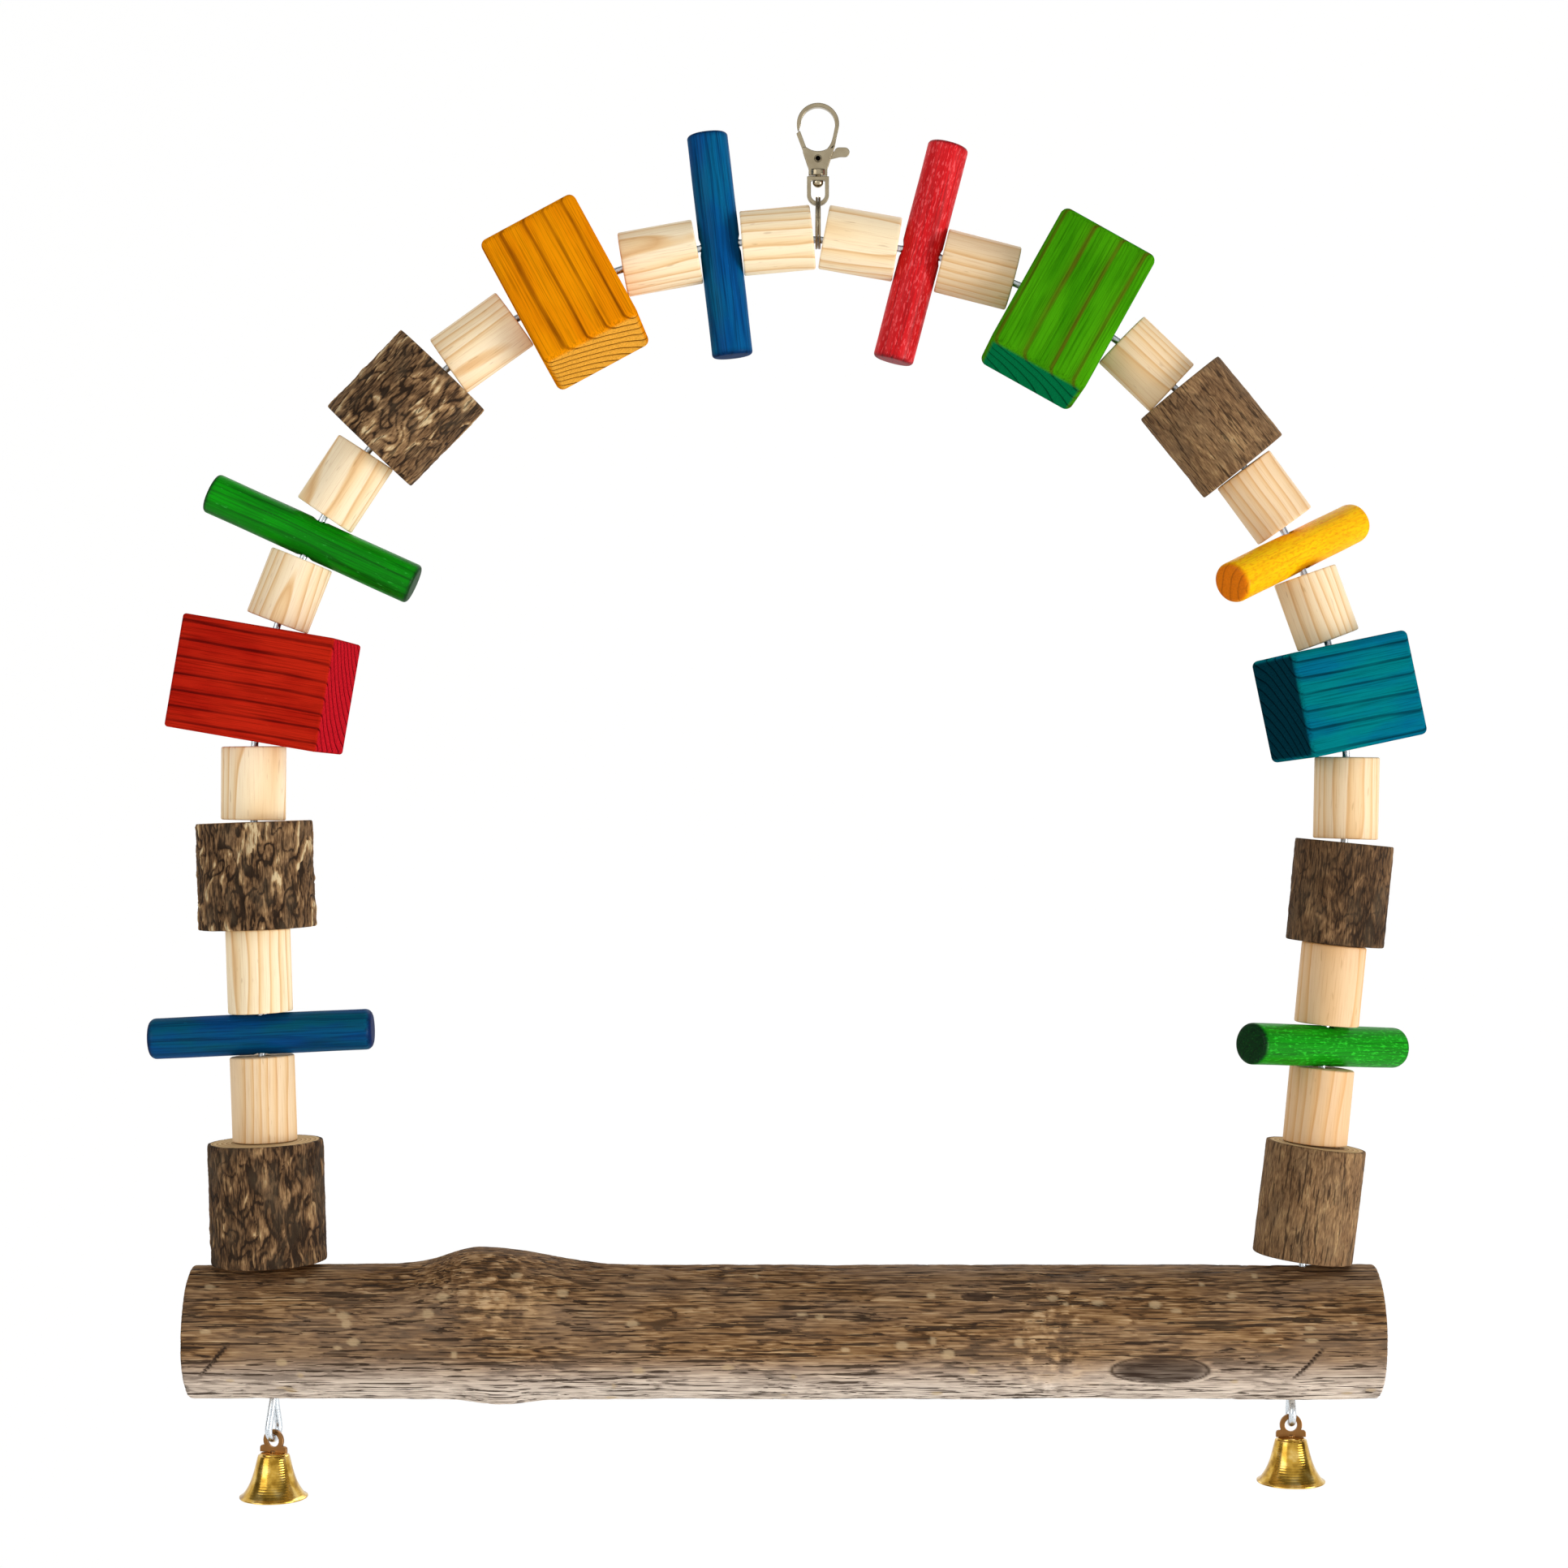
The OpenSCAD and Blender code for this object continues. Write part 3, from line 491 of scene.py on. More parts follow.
def over(tree, under, colour, share):
    """A colour laid over what is under it, by a share."""
    return add(tree, "Mix", {"B": linear(colour)}, {"Factor": share, "A": under})


def fibres(tree, log, width_mm, length_mm, detail=4.0, fray=0.6):
    """Streaks of fibre along the grain, of a width and a length."""
    drawn_out = {"Scale": (1 / width_mm, 1 / width_mm, 1 / length_mm)}
    place = add(tree, "Mapping", drawn_out, {"Vector": log})
    return add(tree, "TexNoise", {"Scale": 1.0, "Detail": detail, "Roughness": fray}, {"Vector": place})


def clouds(tree, log, width_mm, length_mm, detail):
    """Soft patches along the grain, of a width and a length."""
    return fibres(tree, log, width_mm, length_mm, detail, 0.5)


def growth_rings(tree, ring_mm, waver_mm):
    """Growth rings by their width: 0 where a year's pale wood starts, 1 at its dark end."""
    log = marked(tree, "log_mm", "Vector")
    flat = add(tree, "VectorMath", {"operation": "MULTIPLY", 1: (1, 1, 0)}, {0: log})
    radius = add(tree, "VectorMath", {"operation": "LENGTH"}, {0: flat}).outputs["Value"]
    waver = clouds(tree, log, 22, 90, 2.0)
    grown = calc(tree, "MULTIPLY_ADD", waver, waver_mm, radius)
    years = calc(tree, "DIVIDE", grown, ring_mm)
    return log, calc(tree, "FRACT", years)


def dowel_profile(length):
    """Half section of a spacer as a closed loop of radius and height."""
    half = length / 2
    loop = [(bead_bore_r, -half + 0.3), (bead_bore_r + 0.3, -half)]
    loop += [(r, -half) for r in (4.5, 6.5, 8.3)]
    for i in range(6):
        a = math.radians(-90 + i * 18)
        loop.append((dowel_r - edge_r + edge_r * math.cos(a), -half + edge_r + edge_r * math.sin(a)))
    loop += [(dowel_r, h) for h in np.linspace(-half + edge_r + 1, half - edge_r - 1, 9)]
    for i in range(6):
        a = math.radians(i * 18)
        loop.append((dowel_r - edge_r + edge_r * math.cos(a), half - edge_r + edge_r * math.sin(a)))
    loop += [(r, half) for r in (8.3, 6.5, 4.5)]
    return loop + [(bead_bore_r + 0.3, half), (bead_bore_r, half - 0.3)]


def turned(profile, sides, waver=None):
    """Points and faces of a closed loop turned about Z. waver(angle, r, h) moves a point."""
    rings = []
    for a in round_circle(sides):
        row = [waver(a, r, h) if waver else (r, h) for r, h in profile]
        rings.append([(r * math.cos(a), r * math.sin(a), h) for r, h in row])
    points, faces = loft(rings + [rings[0]], caps=False)
    kept = len(profile) * sides
    return points[:kept], [tuple(i % kept for i in face) for face in faces]


# Sanded pine, unvarnished: cream early wood and soft tan late wood, its fibres raised
# a little. Rings are 1.5 to 4 mm wide, as on the real dowels.
raw_pine, tree, shader = new_material("sanded_pine", Specular_IOR_Level=0.3)
log, ring = growth_rings(tree, 3.0, 9.0)
fibre = fibres(tree, log, 0.4, 16)
year = [(0.0, "#FCEAC8"), (0.5, "#FAE4BC"), (0.78, "#F2D2A0"), (0.9, "#E2B680"), (0.95, "#EECC9A")]
tone = ramp(tree, ring, *year, (1.0, "#FBE8C4"))
# A tint towards tan for each dowel; on right_4 and right_2 it is also painted shade.
warmth = marked(tree, "warmth")
warm_and_shade_share = calc(tree, "MULTIPLY", warmth, 0.6)
warmed_and_shaded = over(tree, tone, "#C88E50", warm_and_shade_share)
streak = ramp(tree, fibre, (0.3, "#D0A46C"), (0.5, "#FFFFFF"))
streaked = add(tree, "Mix", {"blend_type": "MULTIPLY", "Factor": 0.3}, {"A": warmed_and_shaded, "B": streak})
# Resin ducts: short brown dashes, half a millimetre wide.
duct = clouds(tree, log, 0.9, 5, 0.0)
duct_share = ranged(tree, duct, 0.76, 0.84, 0, 0.3)
ducted = over(tree, streaked, "#A8743A", duct_share)
rough = ranged(tree, fibre, 0, 1, 0.5, 0.7)
bump = relief(tree, fibre, 0.6, 0.05)
join(tree, shader, Base_Color=ducted, Roughness=rough, Normal=bump)

for seed, (name, x, z, lean, spin, length, warm_and_shade) in enumerate(dowels):

    def off_round(angle, r, h, seed=seed, length=length):
        """A dowel isn't quite round, and its sawn ends aren't quite square."""
        swell = 0.06 * noise.noise((math.cos(angle) * 1.3, math.sin(angle) * 1.3, seed * 7 + h * 0.04))
        tilt = 0.012 * math.cos(angle + seed) * r
        share = min(1, r / dowel_r)
        return r + swell * share, h + tilt * (1 if h > 0 else -1) * (abs(h) > length / 2 - edge_r)

    spacer = mesh_object(name + "_pine", *turned(dowel_profile(length), 72, off_round), raw_pine)
    in_the_log(spacer, "Z", (9 + 31 * ((seed * 0.37) % 1), 4 + 17 * ((seed * 0.61) % 1)), seed + 1)
    mark(spacer, "warmth", [warm_and_shade] * len(spacer.data.vertices))
    thread(spacer, x, z, lean, spin)
    stand_for(spacer, name, name)


# Cross bars: six lengths of thinner dowel, drilled through the side at the middle,
# with their ends eased, soaked in dye and sealed. The dye takes darker on end grain.
bar_r = 6.9
bar_len = 75.0


def stained_wood(name, tones, ring_mm, waver_mm, line, fibre_share, fleck_low, shine, relief_mm):
    """Dyed wood, lightly sealed: tones of its base, grain line, cloud, end, end line and flecks, which are
    mostly painted glints.

    line is how strongly the grain lines show, fleck_low how rare the flecks are.
    """
    base, line_tone, cloud, end, end_line, fleck_and_glint = tones.split()
    seal = {"Specular_IOR_Level": 0.2 * shine, "Coat_Weight": shine, "Coat_Roughness": 0.3}
    made, tree, shader = new_material(name, **seal)
    log, ring = growth_rings(tree, ring_mm, waver_mm)
    cloudy = clouds(tree, log, 9, 26, 3.0)
    cloud_share = ranged(tree, cloudy, 0.4, 0.62, 0, 0.8)
    clouded = add(tree, "Mix", {"A": linear(base), "B": linear(cloud)}, {"Factor": cloud_share})
    cut = marked(tree, "end_grain")
    ended = over(tree, clouded, end, cut)
    year = [(0.0, "#000000"), (0.52, "#000000"), (0.78, "#6E6E6E"), (0.88, "#FFFFFF"), (0.95, "#F0F0F0")]
    late = ramp(tree, ring, *year, (1.0, "#000000"))
    faded = ranged(tree, cloudy, 0.3, 0.6, 0.55 * line, line)
    on_end = calc(tree, "MAXIMUM", faded, cut)
    line_share = calc(tree, "MULTIPLY", late, on_end)
    line_colour = add(tree, "Mix", {"A": linear(line_tone), "B": linear(end_line)}, {"Factor": cut})
    lined = add(tree, "Mix", {}, {"Factor": line_share, "A": ended, "B": line_colour})
    # Light flecks on the sides, mostly painted glints of the seal.
    spots = clouds(tree, log, 0.7, 2.2, 2.0)
    on_side = ranged(tree, cut, 0, 1, 0.6, 0.05)
    fleck_place = ranged(tree, spots, fleck_low, fleck_low + 0.1)
    spot_share = calc(tree, "MULTIPLY", fleck_place, on_side)
    flecked_and_glinting = over(tree, lined, fleck_and_glint, spot_share)
    fibre = fibres(tree, log, 0.5, 26)
    dark = ramp(tree, fibre, (0.36, "#7E7E7E"), (0.54, "#FFFFFF"))
    streaked = add(tree, "Mix", {"blend_type": "MULTIPLY", "Factor": fibre_share}, {"A": flecked_and_glinting, "B": dark})
    rough = ranged(tree, fibre, 0, 1, 0.45, 0.65)
    raised = calc(tree, "ADD", fibre, spots)
    bump = relief(tree, raised, 0.7, relief_mm)
    join(tree, shader, Base_Color=streaked, Roughness=rough, Normal=bump)
    return made


# Dyed birch: an even, strong colour with thin darker streaks. Where the drier fibres stand proud the seal
# glints, and these glints are painted into the colour as light flecks, most on the red bar and on one green
# one.
blue_birch = stained_wood(
    "blue_dyed_birch",
    "#024E8C #022C5C #046088 #03305E #022446 #0E6AA4",
    4.2, 8, 0.5, 0.6, 0.7, 0.05, 0.08,
)
deep_blue_birch = stained_wood(
    "deep_blue_dyed_birch",
    "#01447C #022248 #015262 #021E50 #011A3A #0A628E",
    4.2, 8, 0.5, 0.5, 0.7, 0.08, 0.12,
)
green_birch = stained_wood(
    "green_dyed_birch",
    "#049404 #034A04 #047808 #023E08 #022C06 #3CBE46",
    3.6, 8, 0.6, 0.5, 0.66, 0.15, 0.12,
)
bright_green_birch = stained_wood(
    "bright_green_birch",
    "#068204 #045204 #089808 #01300E #01260C #2CCC2A",
    3.0, 8, 0.6, 0.5, 0.55, 0.15, 0.2,
)
yellow_birch = stained_wood(
    "yellow_dyed_birch",
    "#F6C004 #F09E04 #F8AE04 #DE7406 #B85E04 #EA9004",
    3.2, 8, 0.3, 0.2, 0.5, 0.1, 0.16,
)
red_birch = stained_wood(
    "red_dyed_birch",
    "#D6121A #A00810 #E21C24 #98101A #640810 #FF6468",
    3.4, 8, 0.4, 0.5, 0.54, 0.2, 0.28,
)
# Name, X, Z, lean, turn about the wire, rounding of the ends, wood and slot.
bars = [
    ("left_15_blue_bar", -32.918, -40.551, 83.366, 0, 1.2, blue_birch, "blue_bar"),
    ("left_9_green_bar", -169.625, -138.963, 24.536, 0, 1.4, green_birch, "green_bar"),
    ("left_3_blue_bar", -186.811, -305.182, -2.6, 0, 2.4, deep_blue_birch, "blue_bar"),
    ("right_15_red_bar", 34.526, -43.097, -75.443, 0, 1.4, red_birch, "red_bar"),
    ("right_9_yellow_bar", 159.849, -143.495, -26.059, 42, 2.0, yellow_birch, "yellow_bar"),
    ("right_3_green_bar", 169.945, -309.154, 5.6, 40, 1.4, bright_green_birch, "green_bar"),
]


def bored(obj, length):
    """Drills the wire's hole through a piece, along its own Z."""
    rim = [(bead_bore_r * math.cos(a), bead_bore_r * math.sin(a)) for a in round_circle(40)]
    ends = [[(x, y, h) for x, y in rim] for h in (-length, length)]
    drill = mesh_object("drill", *loft(ends), obj.data.materials[0])
    cut = obj.modifiers.new("bore", "BOOLEAN")
    cut.operation = "DIFFERENCE"
    cut.solver = "EXACT"
    cut.object = drill
    bpy.context.view_layer.update()
    result = obj.evaluated_get(bpy.context.evaluated_depsgraph_get())
    cut_mesh = bpy.data.meshes.new_from_object(result)
    obj.modifiers.clear()
    obj.data = cut_mesh
    bpy.data.objects.remove(drill)


for seed, (name, x, z, lean, spin, end_r, material, slot) in enumerate(bars):
    stations = [(bar_len / 2, 2.0)]
    for i in range(7):
        a = math.radians(90 - i * 15)
        stations.append((bar_len / 2 - end_r + end_r * math.sin(a), bar_r - end_r + end_r * math.cos(a)))
    stations += [(h, bar_r) for h in np.linspace(bar_len / 2 - end_r - 1, 0.5, 18)]
    stations += [(-h, r) for h, r in stations[::-1]]
    rings = []
    for h, r in stations:
        row = []
        for a in round_circle(64):
            uneven = 0.1 * noise.noise((h * 0.06, math.cos(a) * 1.5 + seed * 9, math.sin(a) * 1.5)) - 0.05
            row.append((h, (r + uneven) * math.cos(a), (r + uneven) * math.sin(a)))
        rings.append(row)
    bar = mesh_object(name + "_dyed", *loft(rings), material)
    bored(bar, bar_r * 2)
    shade(bar, 40)
    in_the_log(bar, "X", (6 + 5 * (seed % 3), 9 + 3 * (seed % 2)), seed + 30)
    mark(bar, "end_grain", np.clip((np.abs(points_of(bar)[:, 0]) - bar_len / 2 + 1.6) / 1.2, 0, 1))
    thread(bar, x, z, lean, spin)
    stand_for(bar, name, name)


# Blocks: four offcuts of construction pine, planed, their edges eased, dyed and left
# matt. The wide rings show as thin dark lines along the faces and arcs on the ends.
orange_pine = stained_wood(
    "orange_dyed_pine",
    "#EE9206 #8E4804 #E28004 #EFA83A #5E2E04 #F4A41A",
    4.2, 3, 0.9, 0.45, 0.74, 0, 0.05,
)
red_pine = stained_wood(
    "red_dyed_pine",
    "#BC2412 #520808 #A2160C #BE1824 #4A040A #CC3C22",
    3.7, 3, 0.9, 0.5, 0.74, 0, 0.06,
)
green_pine = stained_wood(
    "green_dyed_pine",
    "#44980A #5A4410 #328206 #057E4A #034A2C #58A614",
    6.4, 3, 0.8, 0.5, 0.74, 0, 0.05,
)
teal_pine = stained_wood(
    "teal_dyed_pine",
    "#03747A #032E3C #046084 #043442 #011620 #0A8A8E",
    4.0, 3, 0.9, 0.5, 0.74, 0, 0.05,
)
# Name, X, Z, lean, turn, width, length along the wire, edge rounding and pith.
blocks = [
    ("left_13_orange_block", -84.574, -56.632, 61.599, -8, 48, 35.2, 2.4, (-46, 44), orange_pine),
    ("left_7_red_block", -185.917, -188.064, 9.713, -5, 52, 38, 1.1, (-40, -52), red_pine),
    ("right_13_green_block", 83.503, -62.279, -60.751, 4, 52, 35.2, 2.6, (-34, -48), green_pine),
    ("right_7_teal_block", 174.72, -192.192, -11.798, 12, 42, 35.2, 2.0, (-38, 50), teal_pine),
]
block_deep = 38.0
for seed, (name, x, z, lean, spin, wide, long, round_r, pith, material) in enumerate(blocks):
    bm = bmesh.new()
    bmesh.ops.create_cube(bm, size=1)
    bmesh.ops.scale(bm, vec=(wide * MM, block_deep * MM, long * MM), verts=bm.verts)
    bmesh.ops.bevel(bm, geom=bm.edges[:], offset=round_r * MM, segments=6, profile=0.5, affect="EDGES")
    corners = [[v.index for v in f.verts] for f in bm.faces]
    block = mesh_object(name + "_dyed", [v.co / MM for v in bm.verts], corners, material)
    bm.free()
    bored(block, long)
    shade(block, 40)
    in_the_log(block, "X", pith, seed + 50)
    mark(block, "end_grain", np.clip((np.abs(points_of(block)[:, 0]) - wide / 2 + 0.5) / 0.4, 0, 1))
    thread(block, x, z, lean, spin)
    stand_for(block, name, name)


# Bark slices: six short lengths sawn from branches with the bark left on, drilled
# down the pith. The bark stands in long wavering ridges; the sawn ends are pale.
# Name, X, Z, lean, turn, thickness, length, how coarse its bark is and how bleached.
slices = [
    ("left_11_bark", -138.154, -95.271, 43.823, 0, 39.4, 35.6, 1.0, 0.15),
    ("left_5_bark", -188.672, -251.868, -2.0, 70, 39.4, 35.6, 1.15, 0.1),
    ("left_1_bark", -184.847, -361.402, -2.0, 190, 39.4, 40.4, 0.8, 0.0),
    ("right_11_bark", 131.954, -101.548, -39.149, 120, 34, 34, 0.3, 0.24),
    ("right_5_bark", 174.98, -257.807, 5.6, 240, 34, 34, 0.4, 0.04),
    ("right_1_bark", 164.838, -361.239, 7.1, 30, 34, 38, 0.3, 0.25),
]
# noise_vector's offsets are drawn from this seed, so the bark is the same each run.
noise.seed_set(7)


def bark_height(x, y, h, seed, coarse):
    """Millimetres that the bark stands out at a point: ridges, cracks and grain."""
    at = Vector((x / 5.6, y / 5.6, h / 22 + seed * 13))
    bent = at + 0.55 * noise.noise_vector((x / 6, y / 6, h / 9 + seed * 5))
    strip = math.exp(-((noise.noise(bent) / 0.15) ** 2))
    broken = max(0, min(1, 2.2 * noise.noise((x / 6, y / 6, h / 7 + seed * 3)) + 0.5))
    crack = math.exp(-((noise.noise(bent * 2.1 + Vector((7, 3, 1))) / 0.09) ** 2))
    grain = noise.fractal((x / 1.1, y / 1.1, h / 3.2 + seed), 0.8, 2.1, 3)
    swell = noise.noise((x / 14, y / 14, h / 20 + seed * 2))
    return coarse * (0.42 * strip * broken - 0.34 * crack + 0.2 * grain) + 0.12 * swell


def sawn_length(radius_at, height_at, low, high, core_r, across, along, around):
    """A length of branch: points as (along, angle, radius, depth under the bark, height)."""
    rim = [(low, q) for q in across] + [(low + 0.1, 0.985), (low + 0.45, 0.997)]
    stations = rim + [(s, 1.0) for s in np.linspace(low + 1, high - 1, along)]
    stations += [(low + high - s, q) for s, q in rim[::-1]]
    rows = []
    for s, q in stations:
        row = []
        for a in round_circle(around):
            surface = radius_at(s, a)
            h = height_at(s, a, surface)
            r = core_r + q * (surface + h - core_r)
            on_end = s in (low, high)
            row.append((s, a, r, (1 - q) * (surface - core_r) + 0.05 if on_end else 0.0, h))
        rows.append(row)
    return rows


# Weathered bark: dark cracks, a grey-brown ground, tan ridges and pale flecks half a millimetre wide. Its
# colour follows the bark's height, so the tan of the ridges is partly painted highlight and the dark of the
# low places partly painted shade. The sawn end is dry cream wood with fine rings.
branch_bark, tree, shader = new_material("weathered_bark", Specular_IOR_Level=0.15)
log, ring = growth_rings(tree, 1.6, 2.0)
height = marked(tree, "bark_mm")
fibre = fibres(tree, log, 0.45, 2.6)
crack = fibres(tree, log, 0.8, 9, 2.0)
ridged = calc(tree, "MULTIPLY", height, 1.25)
rough_height = calc(tree, "MULTIPLY_ADD", fibre, 0.8, ridged)
bleach = marked(tree, "bleach")
lifted = calc(tree, "ADD", rough_height, bleach)
level = ranged(tree, lifted, -0.13, 0.84)
# Tones by height: partly the bark's own colour, partly painted highlight on ridges and painted shade in low
# places.
ground = [(0.1, "#2C1E12"), (0.3, "#5E442C"), (0.5, "#846444"), (0.7, "#A8865C"), (0.92, "#D2BA90")]
tone = ramp(tree, level, *ground)
patch = clouds(tree, log, 7, 12, 4.0)
patch_share = ranged(tree, patch, 0.45, 0.7, 0, 0.3)
patched = over(tree, tone, "#6E5E48", patch_share)
dash = ranged(tree, crack, 0.43, 0.39, 0, 0.75)
dashed = over(tree, patched, "#2A1D12", dash)
sawn = ramp(tree, ring, (0.0, "#DCC498"), (0.7, "#C8A878"), (0.92, "#A07C50"), (1.0, "#D2B688"))
under = marked(tree, "under_mm")
inside = ranged(tree, under, 1.0, 1.3)
whole = add(tree, "Mix", {}, {"Factor": inside, "A": dashed, "B": sawn})
raised = calc(tree, "ADD", fibre, crack)
bump = relief(tree, raised, 0.9, 0.35)
rough = ranged(tree, fibre, 0, 1, 0.75, 0.95)
join(tree, shader, Base_Color=whole, Roughness=rough, Normal=bump)

for seed, (name, x, z, lean, spin, thick, long, coarse, bleached) in enumerate(slices):

    def slice_radius(s, a, thick=thick, spin=spin):
        """The slice's outline isn't quite round."""
        two = 1 + math.sin(2 * a + math.radians(spin))
        five = 1 + math.sin(5 * a + 2 * math.radians(spin))
        return thick / 2 * (1 - 0.022 * two / 2 - 0.022 * five / 4)

    def slice_height(s, a, r, seed=seed, coarse=coarse):
        """The bark on this slice."""
        return bark_height(r * math.cos(a), r * math.sin(a), s, seed, coarse) - 0.25

    rows = sawn_length(
        slice_radius,
        slice_height,
        -long / 2,
        long / 2,
        bead_bore_r,
        (0.0, 0.25, 0.5, 0.7, 0.82, 0.88, 0.905, 0.93, 0.965),
        int(long / 0.4),
        320,
    )
    points = [(r * math.cos(a), r * math.sin(a), s) for row in rows for s, a, r, _, _ in row]
    count = len(rows[0])
    faces = []
    for i in range(len(rows)):
        this, after = i * count, (i + 1) % len(rows) * count
        for j, k in ((j, (j + 1) % count) for j in range(count)):
            faces.append((this + j, this + k, after + k, after + j))
    cut = mesh_object(name + "_branch", points, faces, branch_bark, 50)
    in_the_log(cut, "Z", (0.6, -0.4), seed + 70)
    mark(cut, "under_mm", [p[3] for row in rows for p in row])
    mark(cut, "bark_mm", [p[4] for row in rows for p in row])
    mark(cut, "bleach", [bleached] * len(points))
    thread(cut, x, z, lean, spin)
    stand_for(cut, name, name)


# Perch: a straight length of branch with its thin bark on, sawn square, with a swollen
# knot, the scar of a side branch and two stray saw nicks. The wire goes through it.
perch_r = 22.5
perch_z = -405.056
perch_left = -209.723
perch_right = 186.942
picked = random.Random(11)
# Pale corky spots, 1 to 4 mm long: place along, angle, half length and half width.
spots = [
    (
        picked.uniform(perch_left + 4, perch_right - 4),
        picked.uniform(0, 2 * math.pi),
        picked.uniform(0.6, 2.0),
        picked.uniform(0.6, 1.4),
    )
    for _ in range(130)
]


def perch_radius(s, a):
    """The branch swells at its knot and wavers a little along its length."""
    up = math.sin(a)
    out = math.cos(a)
    waver = 0.35 * noise.noise((s / 60, out, up)) + 0.3 * noise.noise((s / 21, 2 * out, 2 * up))
    rise = (s + 114) / (13 if s < -114 else 27)
    knot = 5.0 * math.exp(-rise * rise) * max(0, up) ** 1.4
    knot += 1.1 * math.exp(-(((s + 112) / 30) ** 2)) * max(0, up) ** 0.7
    bulge = 1.9 * math.exp(-(((s + 106) / 12) ** 2)) * max(0, -up) ** 2
    return perch_r - 0.35 + waver + knot + bulge


def scar(s, a, at, angle, half_long, half_wide):
    """How far a point is from a scar's middle, 1 on its oval edge."""
    across = (a - angle + math.pi) % (2 * math.pi) - math.pi
    return math.hypot((s - at) / half_long, across * perch_r / half_wide)


def nick(s, a, at, height):
    """How deep a stray saw stroke is: a slanting line on the front."""
    z = perch_r * math.sin(a)
    if math.cos(a) > 0 or abs(z - height) > 6.2:
        return 0.0
    slant = (s - at) - (z - height) * 0.86
    return math.exp(-((slant / 0.38) ** 2)) * min(1, (6.2 - abs(z - height)) / 2)


front = math.pi
scars = [(112.3, front + 0.43, 16.5, 5.6), (52.3, front - 0.72, 5.0, 2.0)]


def perch_height(s, a, r):
    """Fine cracks along the bark, corky spots, scars and nicks, in millimetres."""
    x, y, z = s, r * math.cos(a), r * math.sin(a)
    line = noise.noise((x / 17, y / 1.7, z / 1.7))
    fine = noise.noise((x / 8 + 40, y / 0.9, z / 0.9))
    area = max(0, min(1, 0.75 + 1.2 * noise.noise((x / 26, y / 9, z / 9))))
    h = -0.42 * area * math.exp(-((line / 0.1) ** 2)) - 0.2 * area * math.exp(-((fine / 0.12) ** 2))
    h += 0.12 * noise.fractal((x / 9, y / 2.0, z / 2.0), 0.8, 2.0, 3)
    rough_patch = math.exp(-(((s - 76) / 11) ** 2)) * max(0, -math.cos(a))
    rough_patch += math.exp(-(((s + 106) / 14) ** 2)) * max(0, math.cos(a - front + 0.7)) ** 3
    h += 0.45 * rough_patch * noise.fractal((x / 3.6, y / 3.6, z / 3.6), 0.8, 2.0, 3)
    for at, angle, half_long, half_wide in scars:
        d = scar(s, a, at, angle, half_long, half_wide)
        if d < 1.5:
            h += 0.12 * math.exp(-(((d - 1.08) / 0.1) ** 2)) - 0.35 * min(1, max(0, 1 - d)) ** 0.5
    h -= 1.0 * max(nick(s, a, -199, -6), nick(s, a, 161, -7))
    return h


rows = sawn_length(
    perch_radius,
    perch_height,
    perch_left,
    perch_right,
    0.2,
    (0.0, 0.2, 0.45, 0.65, 0.8, 0.88, 0.915, 0.935, 0.965),
    460,
    280,
)
ring_points = [[(s, r * math.cos(a), r * math.sin(a) + perch_z) for s, a, r, _, _ in row] for row in rows]
pale, dark, worn = [], [], []
spot_rows = {}
for spot in spots:
    for i in range(int(spot[0] - spot[2] - 2), int(spot[0] + spot[2] + 3)):
        spot_rows.setdefault(i, []).append(spot)
for row in rows:
    for s, a, *_ in row:
        shine = 0.0
        for at, angle, half_long, half_wide in spot_rows.get(math.floor(s), ()):
            across = (a - angle + math.pi) % (2 * math.pi) - math.pi
            d = math.hypot((s - at) / half_long, across * perch_r / half_wide)
            shine = max(shine, min(1, max(0, 1.25 - d) * 3))
        pale.append(shine)
        # The dark in the nicks is painted shade; on the scars it is partly their own dark wood and partly
        # painted shade at their rims.
        shadow = max(nick(s, a, -199, -6), nick(s, a, 161, -7))
        for at, angle, half_long, half_wide in scars:
            d = scar(s, a, at, angle, half_long, half_wide)
            inner = 0.72 + 0.5 * noise.noise((s / 9, math.sin(a) * perch_r / 0.9, 3.0))
            shadow = max(shadow, inner * min(1, max(0, 1 - d) * 5), math.exp(-(((d - 0.96) / 0.05) ** 2)))
        dark.append(shadow)
        facing = max(0, -math.cos(a))
        torn = 0.6 * math.exp(-(((s + 100) / 13) ** 2)) * math.exp(-(((a - front + 0.55) / 0.35) ** 2))
        lower = math.exp(-(((a - front - 0.35) / 0.5) ** 2)) * facing
        torn += 0.6 * math.exp(-(((s - 80) / 13) ** 2)) * lower
        worn.append(torn * min(1, max(0, 0.7 + 1.4 * noise.noise((s / 6, a * 5, 1.0)))))


# Thin branch bark: grey-brown, with dark dashes half a millimetre wide along the grain, pale lifted fibres
# between them, tan corky spots and a pale, weathered underside that is partly painted light.
perch_bark, tree, shader = new_material("branch_bark", Specular_IOR_Level=0.15)
log, ring = growth_rings(tree, 1.8, 2.0)
height = marked(tree, "bark_mm")
crack = fibres(tree, log, 0.9, 24, 2.0)
streak = fibres(tree, log, 0.5, 16, 3.0)
rough_height = calc(tree, "MULTIPLY_ADD", streak, 1.2, height)
level = ranged(tree, rough_height, 0.22, 0.86)
tone = ramp(tree, level, (0.0, "#48321C"), (0.35, "#6E4E30"), (0.65, "#92704A"), (1.0, "#C0A078"))
patch = clouds(tree, log, 14, 45, 3.0)
patch_share = ranged(tree, patch, 0.42, 0.65, 0, 0.45)
toned = over(tree, tone, "#846E5A", patch_share)
